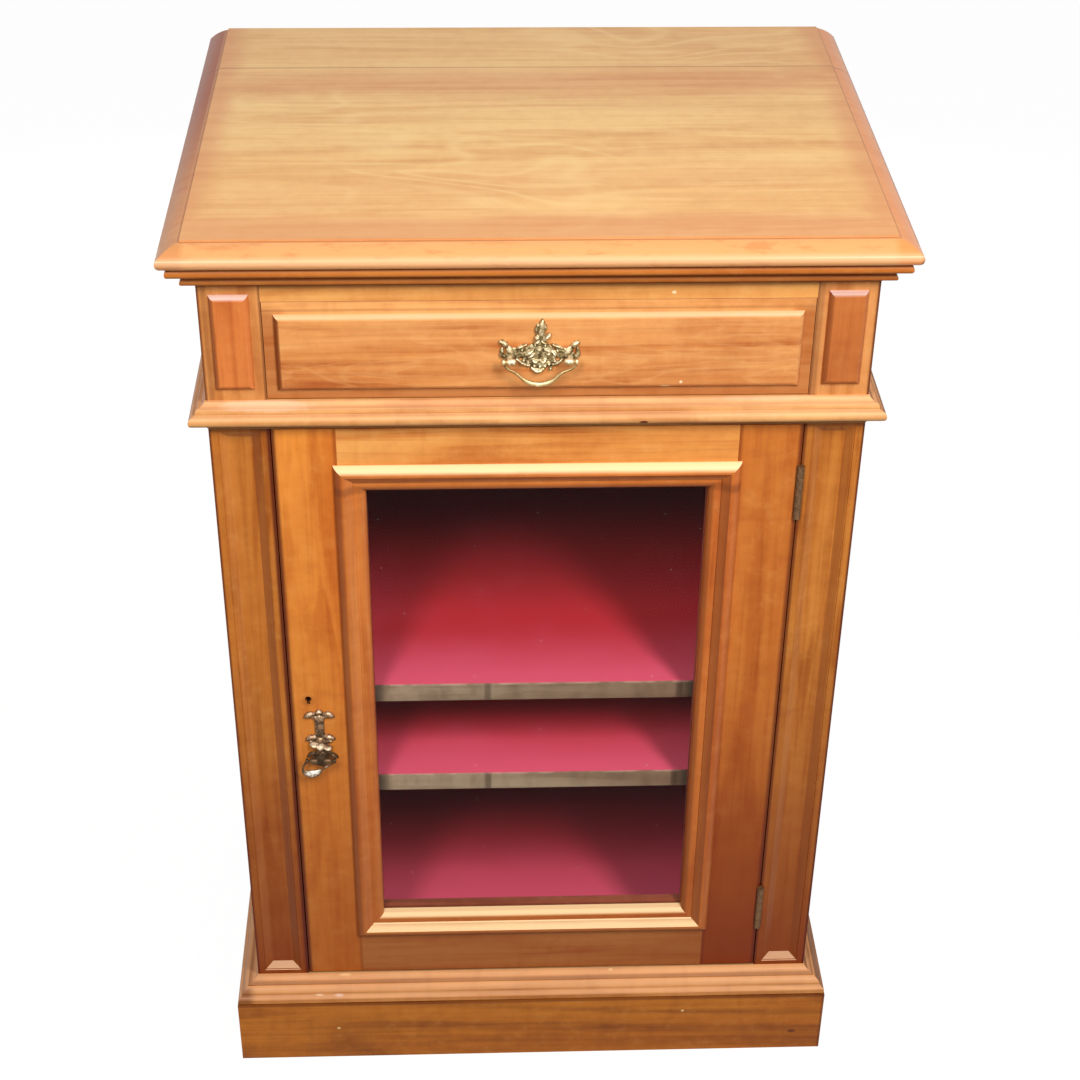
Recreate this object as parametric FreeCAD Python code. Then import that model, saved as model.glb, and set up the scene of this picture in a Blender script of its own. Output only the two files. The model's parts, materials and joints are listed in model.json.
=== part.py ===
import FreeCAD, Part
import os

# A pier cabinet with one drawer and one glazed door, in millimetres.
# X runs to the right, Y to the back and Z up. The origin is the middle of the footprint on the floor.

# Overall sizes
top_width = 610.0
total_depth = 477.0
total_height = 928.0
top_thickness = 20.0
top_overhang = 27.0

# Heights of the bands on the front, from the floor up; the door fills what they leave
plinth_height = 77.0
plinth_cap_height = 24.0
waist_height = 28.0
frieze_height = 106.5
bed_height = 25.5

# How far the mouldings and the plinth stand out from the case
plinth_thickness = 21.0
plinth_cap_projection = 20.0
waist_projection = 14.7
bed_projection = 21.0
top_edge_width = 18.7

# Board thicknesses of the case
side_thickness = 18.0
back_thickness = 9.0
face_thickness = 22.0
stile_width = 51.0
bottom_thickness = 16.0
dust_board_thickness = 9.0
shelf_thickness = 20.0
lining_thickness = 1.0

# The top boards
back_board_width = 102.0

# Raised blocks and panel on the frieze, sunk panels in the pilasters
panel_bevel = 4.5
panel_lip = 0.8
block_width = 32.5
block_lift = 11.3
block_drop = 7.7
drawer_panel_margin = 9.0
drawer_panel_lift = 10.0
drawer_panel_drop = 11.5
sunk_width = 36.0
sunk_margin = 5.0
sunk_top_margin = 2.5
sunk_step = 1.2
sunk_ledge = 1.0
sunk_bevel = 7.0
sunk_depth = 5.2

# Rails of the frieze
drawer_top_rail_height = 14.5
divider_depth = 60.0
rear_rail_thickness = 22.0
rear_rail_height = 40.0

# The drawer
drawer_gap = 0.6
drawer_front_lift = 1.5
running_gap = 0.3
drawer_front_thickness = 20.0
drawer_side_thickness = 10.0
drawer_back_thickness = 9.0
drawer_back_room = 30.0
drawer_side_room = 12.7
drawer_bottom_thickness = 6.0
drawer_bottom_lift = 5.0
drawer_groove = 4.0
guide_gap = 0.5
runner_width = 48.0
runner_thickness = 11.0
guide_height = 20.0
kicker_gap = 1.0
kicker_height = 20.0
stop_width = 40.0
stop_length = 15.0
stop_share = 0.44

# The door
door_gap = 1.2
door_bottom_gap = 2.0
door_top_gap = 1.0
door_thickness = 21.5
door_stile_width = 54.3
door_top_rail = 40.5
door_bottom_rail = 55.0
tenon_length = 30.0
tenon_thickness = 8.0
tenon_shoulder = 10.0

# The glazing moulding, glass and beads of the door
glazing_width = 27.0
glazing_lap = 4.0
glazing_rise = 7.0
glazing_depth = 9.0
glass_thickness = 3.0
glass_play = 0.5

# Shelves and their bearers; a shelf's share is how far up the inside its top lies
shelf_setback = 8.0
upper_shelf_share = 0.5364
lower_shelf_share = 0.3659
bearer_height = 14.0
bearer_width = 12.0
bearer_setback = 20.0
door_stop_width = 18.0
door_stop_lap = 8.0
door_stop_thickness = 6.0

# Glue blocks behind the plinth
glue_block_size = 30.0
glue_block_shares = (0.23, 0.77)

# Butt hinges
hinge_length = 54.0
hinge_leaf_depth = 20.0
hinge_leaf_thickness = 1.8
hinge_knuckle_radius = 3.2
hinge_pin_radius = 1.3
hinge_pin_clearance = 0.05
hinge_knuckle_gap = 0.2
hinge_stand = 1.5
hinge_relief = 0.4
hinge_top_margin = 68.0
hinge_bottom_margin = 80.0
hinge_knuckles = 5

# Wood screws of the hinges and the lock
screw_head_radius = 2.6
screw_head_depth = 1.6
screw_shank_radius = 1.3
screw_length = 13.0
hinge_screw_spacing = 18.0
hinge_screws = 3

# The lock
lock_height = 45.0
lock_width = 34.0
lock_depth = 8.0
lock_plate_thickness = 2.0
lock_plate_depth = 12.0
lock_rise = 31.5
lock_clearance = 0.1
keyhole_backset = 16.5
keyhole_radius = 3.0
keyhole_slot_width = 3.0
keyhole_slot_length = 6.0
bolt_height = 14.0
bolt_thickness = 4.0
bolt_length = 9.0
bolt_throw = 6.0
bolt_mortise_play = 1.0
lock_screw_drop = 17.0
lock_screw_inset = 8.0

# The drawer handle
plate_thickness = 2.0
drawer_handle_drop = 2.25
drawer_post_spacing = 50.0
drawer_boss_width = 34.0
drawer_boss_height = 26.0
drawer_boss_lift = 2.0
drawer_wing_width = 15.0
drawer_wing_height = 22.0
drawer_wing_lift = 3.0
drawer_wing_reach = 26.5
drawer_web_height = 12.0
drawer_finial_width = 11.0
drawer_finial_height = 22.0
drawer_finial_sink = 2.0
post_radius = 2.6
post_head_radius = 3.8
post_head_length = 6.0
post_reach = 13.0
post_tail_radius = 2.0
nut_radius = 4.5
nut_thickness = 2.5
drawer_bail_drop = 20.9
drawer_bail_belly = 2.5
bail_thickness = 3.6
bail_pin_radius = 1.2
bail_pin_clearance = 0.08
bail_pin_end_gap = 0.4
bail_arm_width = 3.4
bail_side_gap = 0.4
bail_eye_radius = 2.9

# The door pull
door_pull_below_lock = 65.5
door_pull_shift = 1.7
door_post_spacing = 15.6
door_pull_drop = 19.0
door_pull_belly = 6.0
door_post_reach = 12.5
door_plate_rise = 56.0
door_finial_radius = 5.2
door_lobe_radius = 4.3
door_lobe_spread = 17.4
door_lobe_drop = 4.0
door_neck_width = 12.0
door_cross_width = 27.0
door_cross_height = 15.0
door_cross_rise = 18.0
door_body_radius = 10.7
door_body_drop = 4.0
door_wing_width = 13.0
door_wing_height = 8.0

# One named overrun serves all cuts
overrun = 2.0

# Outlines of the mouldings as shares of their projection and height, from the case face at the bottom,
# round the outside, to the case face at the top. The third value bends the stretch that ends there,
# as a share of its length: more than zero swells it and less than zero hollows it.
bed_shares = (
    (0.0, 0.0, 0.0), (0.36, 0.2, -0.15), (0.41, 0.21, 0.0), (0.53, 0.31, 0.2), (0.43, 0.4, 0.2),
    (0.43, 0.5, 0.0), (0.62, 0.6, -0.12), (0.84, 0.64, 0.0), (1.0, 0.79, 0.2), (0.86, 0.94, 0.2),
    (0.8, 1.0, 0.0), (0.0, 1.0, 0.0),
)
waist_shares = (
    (0.0, 0.0, 0.0), (0.6, 0.29, -0.14), (0.68, 0.3, 0.0), (1.0, 0.48, 0.2), (0.68, 0.66, 0.2),
    (0.61, 0.68, 0.0), (0.56, 0.81, 0.05), (0.51, 0.845, 0.1), (0.44, 0.845, 0.0),
    (0.08, 0.985, -0.14), (0.08, 1.0, 0.0), (0.0, 1.0, 0.0),
)
plinth_cap_shares = (
    (0.0, 0.0, 0.0), (0.93, 0.0, 0.0), (1.0, 0.16, 0.2), (0.89, 0.34, 0.2), (0.8, 0.44, -0.06),
    (0.5, 0.7, 0.14), (0.48, 0.755, 0.0), (0.38, 0.79, 0.0), (0.05, 1.0, -0.14), (0.0, 1.0, 0.0),
)
top_edge_shares = (
    (0.0, 0.0, 0.0), (0.68, 0.0, 0.0), (0.9, 0.1, 0.09), (1.0, 0.34, 0.1), (0.92, 0.515, 0.13),
    (0.07, 0.92, 0.07), (0.0, 0.92, 0.0),
)
# The face of the glazing moulding, from its outer edge to its sight edge: shares of width and rise
glazing_face_shares = (
    (1.0, 0.0, 0.0), (1.0, 0.12, 0.0), (0.72, 1.0, 0.14), (0.66, 1.0, 0.0), (0.4, 0.36, -0.05),
    (0.37, 0.2, 0.0), (0.3, 0.2, 0.0), (0.0, -0.43, 0.18),
)
# A bail seen from the front, as shares of its half width and drop: down its left arm outside, along
# the grip and up, then back along the inside
bail_outside_shares = (
    (-1.0, 0.0, 0.0), (-1.0, -0.27, 0.0), (-0.66, -0.58, -0.12), (0.66, -0.58, 0.2),
    (1.0, -0.27, -0.12), (1.0, 0.0, 0.0),
)
bail_inside_shares = (
    (1.0, 0.0, 0.0), (1.0, -0.3, 0.0), (0.7, -0.56, 0.1), (-0.7, -0.56, -0.16),
    (-1.0, -0.3, 0.1), (-1.0, 0.0, 0.0),
)
# How far the shoulder of a raised panel swells, as a share of its length
shoulder_bend_share = 0.14
# Outline of the drawer plate's finial as shares of its width and height
finial_shares = ((0.0, 0.0), (0.3, 0.2), (0.5, 0.42), (0.2, 0.5), (0.0, 1.0))
hinge_screw_depth_share = 0.6
back_board_count = 3
half = 0.5

# Places worked out from those sizes
case_half = top_width * half - top_overhang
case_width = case_half + case_half
front = top_overhang - total_depth * half
back = total_depth * half
top_underside = total_height - top_thickness
bed_bottom = top_underside - bed_height
waist_top = bed_bottom - frieze_height
waist_bottom = waist_top - waist_height
drawer_opening_top = bed_bottom - drawer_top_rail_height
plinth_cap_top = plinth_height + plinth_cap_height
inner_half = case_half - side_thickness
opening_half = case_half - stile_width
face_back = front + face_thickness
back_inside = back - back_thickness
lining_back_face = back_inside - lining_thickness
floor_top = plinth_cap_top + door_bottom_gap
floor_bottom = floor_top - bottom_thickness
dust_top = waist_top - runner_thickness
dust_bottom = dust_top - dust_board_thickness
door_half = opening_half - door_gap
door_bottom = plinth_cap_top + door_bottom_gap
door_top = waist_bottom - door_top_gap
upper_shelf_top = floor_top + (waist_bottom - floor_top) * upper_shelf_share
lower_shelf_top = floor_top + (waist_bottom - floor_top) * lower_shelf_share
hinge_upper_centre = door_top - hinge_top_margin
hinge_lower_centre = door_bottom + hinge_bottom_margin
lock_centre_height = (door_bottom + door_top) * half + lock_rise
door_pull_height = lock_centre_height - door_pull_below_lock
door_back = front + door_thickness
frame_half = door_half - door_stile_width
frame_bottom = door_bottom + door_bottom_rail
frame_top = door_top - door_top_rail
sight_inset = glazing_width - glazing_lap
sight_half = frame_half - sight_inset
sight_bottom = frame_bottom + sight_inset
sight_top = frame_top - sight_inset
hinge_x = opening_half - door_gap * half
hinge_y = front - hinge_stand
drawer_half = opening_half - drawer_gap
drawer_front_bottom = waist_top + drawer_front_lift
drawer_side_bottom = waist_top + running_gap
drawer_side_top = drawer_opening_top - drawer_side_room
drawer_back_end = back_inside - drawer_back_room
drawer_panel_base = waist_top + drawer_panel_lift
drawer_panel_top = drawer_opening_top - drawer_panel_drop
drawer_handle_height = (drawer_panel_base + drawer_panel_top) * half - drawer_handle_drop
handle_face = front - panel_bevel
door_pull_x = -(door_half + frame_half) * half - door_pull_shift
keyhole_x = keyhole_backset - door_half


def vector(x, y, z):
    return FreeCAD.Vector(x, y, z)


def block(x0, x1, y0, y1, z0, z1):
    """A plain board between two corners."""
    return Part.makeBox(x1 - x0, y1 - y0, z1 - z0, vector(x0, y0, z0))


def rod(radius, length, start, direction):
    """A round bar from a start point along a direction."""
    return Part.makeCylinder(radius, length, start, direction)


def join(shapes):
    """One solid out of touching or overlapping shapes."""
    whole = shapes[0]
    for shape in shapes[1:]:
        whole = whole.fuse(shape)
    return whole.removeSplitter()


def mirrored(shape):
    """The left-hand copy of a right-hand piece."""
    return shape.mirror(vector(0, 0, 0), vector(1, 0, 0))


def group(shapes):
    """Separate solids kept together as one named piece."""
    solids = []
    for shape in shapes:
        solids.extend(shape.Solids)
    return Part.makeCompound(solids)


def single(shape):
    """The one solid that a cut or a join leaves."""
    return shape.Solids[0] if len(shape.Solids) == 1 else group([shape])


def outline_face(points, place):
    """A flat face: each point is (a, b, bend), and bend bows the edge that ends there."""
    edges = []
    for index in range(len(points)):
        a0, b0, _ = points[index - 1]
        a1, b1, bend = points[index]
        start = place(a0, b0)
        end = place(a1, b1)
        if bend == 0:
            edges.append(Part.LineSegment(start, end).toShape())
            continue
        middle = place((a0 + a1) * half + (b1 - b0) * bend, (b0 + b1) * half - (a1 - a0) * bend)
        edges.append(Part.Arc(start, middle, end).toShape())
    return Part.Face(Part.Wire(edges))


def plan_prism(points, z0, z1):
    """An upright prism over a plan outline."""
    corners = [vector(x, y, z0) for x, y in points]
    face = Part.Face(Part.makePolygon(corners + corners[:1]))
    return face.extrude(vector(0, 0, z1 - z0))


def front_prism(points, y0, y1):
    """A prism from front to back over an outline seen from the front."""
    corners = [vector(x, y0, z) for x, z in points]
    face = Part.Face(Part.makePolygon(corners + corners[:1]))
    return face.extrude(vector(0, y1 - y0, 0))


def ellipse_plate(x, z, width, height, y0, y1):
    """An upright oval plate between two depths."""
    tall = height > width
    major = max(width, height) * half
    minor = min(width, height) * half
    axis = vector(0, 0, 1) if tall else vector(1, 0, 0)
    centre = vector(x, y0, z)
    oval = Part.Ellipse(centre + axis * major, centre + axis.cross(vector(0, 1, 0)) * minor, centre)
    face = Part.Face(Part.Wire([oval.toShape()]))
    return face.extrude(vector(0, y1 - y0, 0))


def scaled_outline(shares, width, height):
    """The points of an outline given in shares of a width and a height."""
    return [(out * width, up * height, bend) for out, up, bend in shares]


def mitred_lengths(shares, face_half, face_front, projection, base, height):
    """The front, right and left lengths of a moulding that runs round the case."""
    profile = scaled_outline(shares, projection, height)
    outer = face_half + projection
    nose = face_front - projection
    front_face = outline_face(profile, lambda out, up: vector(-outer, face_front - out, base + up))
    side_face = outline_face(profile, lambda out, up: vector(face_half + out, nose, base + up))
    front_plan = [(-outer, nose), (outer, nose), (face_half, face_front), (-face_half, face_front)]
    side_plan = [(face_half, face_front), (outer, nose), (outer, back), (face_half, back)]
    long_front = front_face.extrude(vector(outer + outer, 0, 0))
    long_side = side_face.extrude(vector(0, back - nose, 0))
    front_length = single(long_front.common(plan_prism(front_plan, base, base + height)))
    right_length = single(long_side.common(plan_prism(side_plan, base, base + height)))
    return front_length, right_length, mirrored(right_length)


def rectangle(x0, x1, z0, z1, inset):
    """The corners of an upright rectangle drawn in by an inset."""
    return [
        (x0 + inset, z0 + inset), (x1 - inset, z0 + inset),
        (x1 - inset, z1 - inset), (x0 + inset, z1 - inset),
    ]


def shouldered_outline(start, end, face):
    """A raised panel cut across: flat behind, a low lip, and shoulders that round up to its crown."""
    lip = face - panel_lip
    crown = face - panel_bevel
    return [
        (start, face, 0), (start, lip, 0), (start + panel_bevel, crown, shoulder_bend_share),
        (end - panel_bevel, crown, 0), (end, lip, shoulder_bend_share), (end, face, 0),
    ]


def raised_panel(x0, x1, z0, z1, face):
    """A panel with rounded shoulders and mitred corners, planted on a face that looks to the front."""
    plan = outline_face(shouldered_outline(x0, x1, face), lambda x, y: vector(x, y, z0))
    section = outline_face(shouldered_outline(z0, z1, face), lambda z, y: vector(x0, y, z))
    return single(
        plan.extrude(vector(0, 0, z1 - z0)).common(section.extrude(vector(x1 - x0, 0, 0))))


def frustum(outer, outer_y, inner, inner_y):
    """A solid between two upright rectangles at two depths."""
    wires = []
    for points, y in ((outer, outer_y), (inner, inner_y)):
        corners = [vector(x, y, z) for x, z in points]
        wires.append(Part.makePolygon(corners + corners[:1]))
    return Part.makeLoft(wires, True, True)


def wood_screw(place, direction):
    """A countersunk screw whose head is flush at a place and whose shank runs along a direction."""
    head = Part.makeCone(screw_head_radius, screw_shank_radius, screw_head_depth, place, direction)
    shank = rod(screw_shank_radius, screw_length, place, direction)
    return join([head, shank])


# The top: a slab with a thumb moulded edge on the front and both sides, made of two boards.

def top_boards():
    core_half = top_width * half - top_edge_width
    core_front = front - top_overhang + top_edge_width
    core = block(-core_half, core_half, core_front, back, top_underside, total_height)
    edges = mitred_lengths(
        top_edge_shares, core_half, core_front, top_edge_width, top_underside, top_thickness)
    slab = join([core] + list(edges))
    seam = back - back_board_width
    outer = top_width * half + overrun
    rear = block(-outer, outer, seam, back + overrun, top_underside - overrun, total_height + overrun)
    return {
        "top_front_board": single(slab.cut(rear)),
        "top_back_board": single(slab.common(rear)),
    }


# The case: sides, back boards, face posts and rails, bottom, and the rails and boards round the drawer.

def case_sides():
    side = block(inner_half, case_half, face_back, back, 0, top_underside)
    rebate_edge = inner_half + side_thickness * half
    rebate = block(
        inner_half - overrun, rebate_edge, back_inside, back + overrun, -overrun,
        top_underside + overrun)
    side = single(side.cut(rebate))
    return {"side_right": side, "side_left": mirrored(side)}


def back_boards():
    left_edge = -(inner_half + side_thickness * half)
    width = -(left_edge + left_edge) / back_board_count
    boards = []
    for index in range(back_board_count):
        x0 = left_edge + width * index
        boards.append(block(x0, x0 + width, back_inside, back, 0, top_underside))
    return {"back_boards": group(boards)}


def frieze_posts():
    post = block(opening_half, case_half, front, face_back, waist_top, top_underside)
    centre = (opening_half + case_half) * half
    x0 = centre - block_width * half
    raised = raised_panel(
        x0, x0 + block_width, waist_top + block_lift, bed_bottom - block_drop, front)
    return {
        "frieze_post_right": post,
        "frieze_post_left": mirrored(post),
        "frieze_blocks": group([raised, mirrored(raised)]),
    }


def drawer_top_rail():
    rail = block(
        -opening_half, opening_half, front, face_back, drawer_opening_top, top_underside)
    return {"drawer_top_rail": rail}


def divider_rail():
    across = block(-case_half, case_half, front, face_back, waist_bottom, waist_top)
    inner = block(-inner_half, inner_half, face_back, front + divider_depth, waist_bottom, waist_top)
    return {"drawer_divider_rail": join([across, inner])}


def dust_board():
    board = block(
        -inner_half, inner_half, front + divider_depth, back_inside, dust_bottom, dust_top)
    return {"dust_board": board}


def rear_top_rail():
    rail = block(
        -inner_half, inner_half, back_inside - rear_rail_thickness, back_inside,
        top_underside - rear_rail_height, top_underside)
    return {"rear_top_rail": rail}


def drawer_runners():
    guide_face = drawer_half + guide_gap
    base = block(
        inner_half - runner_width, inner_half, front + divider_depth, back_inside, dust_top,
        waist_top)
    guide = block(
        guide_face, inner_half, front + divider_depth, back_inside, waist_top,
        waist_top + guide_height)
    runner = join([base, guide])
    return {"drawer_runners": group([runner, mirrored(runner)])}


def drawer_kickers():
    underside = drawer_side_top + kicker_gap
    kicker = block(
        inner_half - runner_width, inner_half, face_back, back_inside - rear_rail_thickness,
        underside, underside + kicker_height)
    return {"drawer_kickers": group([kicker, mirrored(kicker)])}


def drawer_stops():
    y0 = front + drawer_front_thickness
    top = drawer_side_bottom + drawer_bottom_lift - running_gap
    stops = []
    for x in (-opening_half * stop_share, opening_half * stop_share):
        x0 = x - stop_width * half
        stops.append(block(x0, x0 + stop_width, y0, y0 + stop_length, waist_top, top))
    return {"drawer_stops": group(stops)}


def pilasters():
    post = block(opening_half, case_half, front, face_back, 0, waist_bottom)
    centre = (opening_half + case_half) * half
    x0 = centre - sunk_width * half
    x1 = centre + sunk_width * half
    z0 = plinth_cap_top + sunk_margin
    z1 = waist_bottom - sunk_top_margin
    step = block(x0, x1, front - overrun, front + sunk_step, z0, z1)
    ledge = rectangle(x0, x1, z0, z1, sunk_ledge)
    floor = rectangle(x0, x1, z0, z1, sunk_ledge + sunk_bevel)
    sunk = frustum(ledge, front + sunk_step, floor, front + sunk_depth)
    post = post.cut(step).cut(sunk)
    left = mirrored(post).cut(bolt_keep())
    right = post
    for z in (hinge_upper_centre, hinge_lower_centre):
        right = right.cut(knuckle_room(z)).cut(leaf_plate(opening_half, z, 1))
    for screw in hinge_screws_in(opening_half, 1):
        right = right.cut(screw)
    return {"pilaster_right": single(right), "pilaster_left": single(left)}


def bottom_rail():
    rail = block(-opening_half, opening_half, front, face_back, 0, plinth_cap_top)
    return {"bottom_rail": rail}


def bottom_board():
    board = block(-inner_half, inner_half, face_back, back_inside, floor_bottom, floor_top)
    return {"bottom_board": board}


def glue_blocks():
    size = glue_block_size
    low = floor_bottom - size
    blocks = []
    for share in glue_block_shares:
        x = case_width * share - case_half - size * half
        y = front + (back - front) * share - size * half
        blocks.append(block(x, x + size, face_back, face_back + size, low, floor_bottom))
        side_block = block(inner_half - size, inner_half, y, y + size, low, floor_bottom)
        blocks.extend([side_block, mirrored(side_block)])
    return {"glue_blocks": group(blocks)}


# The mouldings and plinth boards that run round the front and sides.

def running_mouldings():
    bed = mitred_lengths(bed_shares, case_half, front, bed_projection, bed_bottom, bed_height)
    waist = mitred_lengths(
        waist_shares, case_half, front, waist_projection, waist_bottom, waist_height)
    cap = mitred_lengths(
        plinth_cap_shares, case_half, front, plinth_cap_projection, plinth_height,
        plinth_cap_height)
    return {"bed_moulding": group(bed), "waist_moulding": group(waist), "plinth_cap": group(cap)}


def plinth_boards():
    square_shares = ((0.0, 0.0, 0.0), (1.0, 0.0, 0.0), (1.0, 1.0, 0.0), (0.0, 1.0, 0.0))
    boards = mitred_lengths(square_shares, case_half, front, plinth_thickness, 0, plinth_height)
    names = ("plinth_front", "plinth_right", "plinth_left")
    return dict(zip(names, boards))


# Shelves on bearers, and the cloth linings.

def shelves():
    shelf_front = door_back + shelf_setback
    half_width = inner_half - lining_thickness
    parts = {}
    linings = []
    bearers = []
    for name, top in (("upper", upper_shelf_top), ("lower", lower_shelf_top)):
        board_top = top - lining_thickness
        under = top - shelf_thickness
        parts["shelf_" + name] = block(
            -half_width, half_width, shelf_front, lining_back_face, under, board_top)
        linings.append(block(
            -half_width, half_width, shelf_front + lining_thickness, lining_back_face, board_top,
            top))
        bearer = block(
            half_width - bearer_width, half_width, shelf_front + bearer_setback, lining_back_face,
            under - bearer_height, under)
        bearers.extend([bearer, mirrored(bearer)])
    parts["shelf_linings"] = group(linings)
    parts["shelf_bearers"] = group(bearers)
    return parts


def case_linings():
    cloth_half = inner_half - lining_thickness
    side = block(cloth_half, inner_half, face_back, back_inside, floor_top, waist_bottom)
    rear = block(-cloth_half, cloth_half, lining_back_face, back_inside, floor_top, dust_bottom)
    floor = block(
        -cloth_half, cloth_half, door_back + shelf_setback, lining_back_face, floor_top,
        floor_top + lining_thickness)
    return {"lining_walls": group([side, mirrored(side), rear]), "lining_floor": floor}


# The drawer: a lapped front with a planted panel, sides, back and a grooved bottom.

def drawer_box():
    bottom_z0 = drawer_side_bottom + drawer_bottom_lift
    bottom_z1 = bottom_z0 + drawer_bottom_thickness
    front_back = front + drawer_front_thickness
    side_inner = drawer_half - drawer_side_thickness
    bottom_half = side_inner + drawer_groove
    bottom_front = front_back - drawer_groove
    board = block(-bottom_half, bottom_half, bottom_front, drawer_back_end, bottom_z0, bottom_z1)
    face = block(
        -drawer_half, drawer_half, front, front_back, drawer_front_bottom,
        drawer_opening_top - drawer_gap)
    side = block(
        side_inner, drawer_half, front_back, drawer_back_end, drawer_side_bottom, drawer_side_top)
    rear = block(
        -side_inner, side_inner, drawer_back_end - drawer_back_thickness, drawer_back_end,
        bottom_z1, drawer_side_top)
    face = drilled_for_posts(
        face.cut(board), 0, drawer_handle_height, drawer_post_spacing, handle_face, front_back)
    right = single(side.cut(board))
    return {
        "drawer_front": face,
        "drawer_side_right": right,
        "drawer_side_left": mirrored(right),
        "drawer_back": rear,
        "drawer_bottom": board,
    }


def drawer_panel():
    x1 = drawer_half - drawer_panel_margin
    panel = raised_panel(-x1, x1, drawer_panel_base, drawer_panel_top, front)
    wood_back = front + drawer_front_thickness
    panel = drilled_for_posts(
        panel, 0, drawer_handle_height, drawer_post_spacing, handle_face, wood_back)
    return {"drawer_panel": panel}


# Brass handles: a cast plate, two posts whose tails pass through the wood to a nut, and a bail.

def post_tail(x, z, face, wood_back):
    """The plain tail of a handle post, from the front of its plate to the back of its nut."""
    plate_front = face - plate_thickness
    return rod(
        post_tail_radius, wood_back + nut_thickness - plate_front, vector(x, plate_front, z),
        vector(0, 1, 0))


def handle_pivot(face, reach):
    """The depth of the pins that a bail hangs from."""
    return face - plate_thickness - reach + post_head_radius


def handle_posts(centre_x, z, spacing, reach, face, wood_back):
    """Two posts with heads drilled from outside for the bail's pins, and their nuts."""
    pivot = handle_pivot(face, reach)
    pieces = []
    for side in (-1, 1):
        x = centre_x + side * spacing * half
        tail = post_tail(x, z, face, wood_back)
        neck = rod(
            post_radius, face - plate_thickness - pivot, vector(x, pivot, z), vector(0, 1, 0))
        head = rod(
            post_head_radius, post_head_length, vector(x - post_head_length * half, pivot, z),
            vector(1, 0, 0))
        bore = rod(
            bail_pin_radius + bail_pin_clearance, post_head_length, vector(x, pivot, z),
            vector(side, 0, 0))
        nut = rod(nut_radius, nut_thickness, vector(x, wood_back, z), vector(0, 1, 0))
        pieces.extend([join([tail, neck, head]).cut(bore), nut.cut(tail)])
    return group(pieces)


def bail(centre_x, z, spacing, reach, face, drop, belly):
    """A bail whose arms hang outside the posts on inward pins, with a swelling grip below."""
    pivot = handle_pivot(face, reach)
    inner = (spacing + post_head_length) * half + bail_side_gap
    outer = inner + bail_arm_width
    y0 = pivot - bail_thickness * half
    outline = scaled_outline(bail_outside_shares, outer, drop)
    outline = outline + scaled_outline(bail_inside_shares, inner, drop - belly)
    bow = outline_face(outline, lambda a, b: vector(centre_x + a, y0, z + b))
    pieces = [bow.extrude(vector(0, bail_thickness, 0))]
    pin_length = bail_side_gap + post_head_length * half - bail_pin_end_gap + bail_arm_width * half
    for side in (-1, 1):
        eye_start = vector(centre_x + side * inner, pivot, z)
        pin_start = vector(centre_x + side * (inner + bail_arm_width * half), pivot, z)
        pieces.append(rod(bail_eye_radius, bail_arm_width, eye_start, vector(side, 0, 0)))
        pieces.append(rod(bail_pin_radius, pin_length, pin_start, vector(-side, 0, 0)))
    return single(join(pieces))


def drilled_for_posts(shape, centre_x, z, spacing, face, wood_back):
    """A plate or a board with the holes that the tails of two posts pass through."""
    for side in (-1, 1):
        shape = shape.cut(post_tail(centre_x + side * spacing * half, z, face, wood_back))
    return single(shape)


def drawer_handle():
    wood_back = front + drawer_front_thickness
    y0 = handle_face - plate_thickness
    z = drawer_handle_height
    boss = ellipse_plate(
        0, z + drawer_boss_lift, drawer_boss_width, drawer_boss_height, y0, handle_face)
    wing = ellipse_plate(
        drawer_wing_reach, z + drawer_wing_lift, drawer_wing_width, drawer_wing_height, y0,
        handle_face)
    web = block(
        -drawer_wing_reach, drawer_wing_reach, y0, handle_face, z - drawer_web_height * half,
        z + drawer_web_height * half)
    base = z + drawer_boss_lift + drawer_boss_height * half - drawer_finial_sink
    right_side = [(a * drawer_finial_width, base + b * drawer_finial_height)
                  for a, b in finial_shares]
    left_side = [(-a, b) for a, b in right_side[-2:0:-1]]
    finial = front_prism(right_side + left_side, y0, handle_face)
    plate = join([boss, wing, mirrored(wing), web, finial])
    return {
        "drawer_handle_plate": drilled_for_posts(
            plate, 0, z, drawer_post_spacing, handle_face, wood_back),
        "drawer_handle_posts": handle_posts(
            0, z, drawer_post_spacing, post_reach, handle_face, wood_back),
        "drawer_bail": bail(
            0, z, drawer_post_spacing, post_reach, handle_face, drawer_bail_drop,
            drawer_bail_belly),
    }


def door_handle():
    x = door_pull_x
    z = door_pull_height
    y0 = front - plate_thickness
    finial_z = z + door_plate_rise - door_finial_radius
    pieces = [rod(door_finial_radius, plate_thickness, vector(x, y0, finial_z), vector(0, 1, 0))]
    for side in (-1, 1):
        lobe = vector(x + side * door_lobe_spread * half, y0, finial_z - door_lobe_drop * half)
        pieces.append(rod(door_lobe_radius, plate_thickness, lobe, vector(0, 1, 0)))
        pieces.append(ellipse_plate(
            x + side * door_post_spacing * half, z, door_wing_width, door_wing_height, y0, front))
    pieces.append(block(
        x - door_neck_width * half, x + door_neck_width * half, y0, front, z, finial_z))
    pieces.append(ellipse_plate(
        x, z + door_cross_rise, door_cross_width, door_cross_height, y0, front))
    pieces.append(rod(
        door_body_radius, plate_thickness, vector(x, y0, z - door_body_drop), vector(0, 1, 0)))
    return {
        "door_handle_plate": drilled_for_posts(
            join(pieces), x, z, door_post_spacing, front, door_back),
        "door_handle_posts": handle_posts(
            x, z, door_post_spacing, door_post_reach, front, door_back),
        "door_pull": bail(
            x, z, door_post_spacing, door_post_reach, front, door_pull_drop, door_pull_belly),
    }


# The two butt hinges: leaves let into the edges, five knuckles and a pin.

def leaf_plate(face_x, centre_z, side):
    """The flat of a hinge leaf against a wooden edge; side is the way into the wood."""
    x0 = min(face_x, face_x + side * hinge_leaf_thickness)
    low = centre_z - hinge_length * half
    return block(
        x0, x0 + hinge_leaf_thickness, hinge_y, front + hinge_leaf_depth, low, low + hinge_length)


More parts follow.
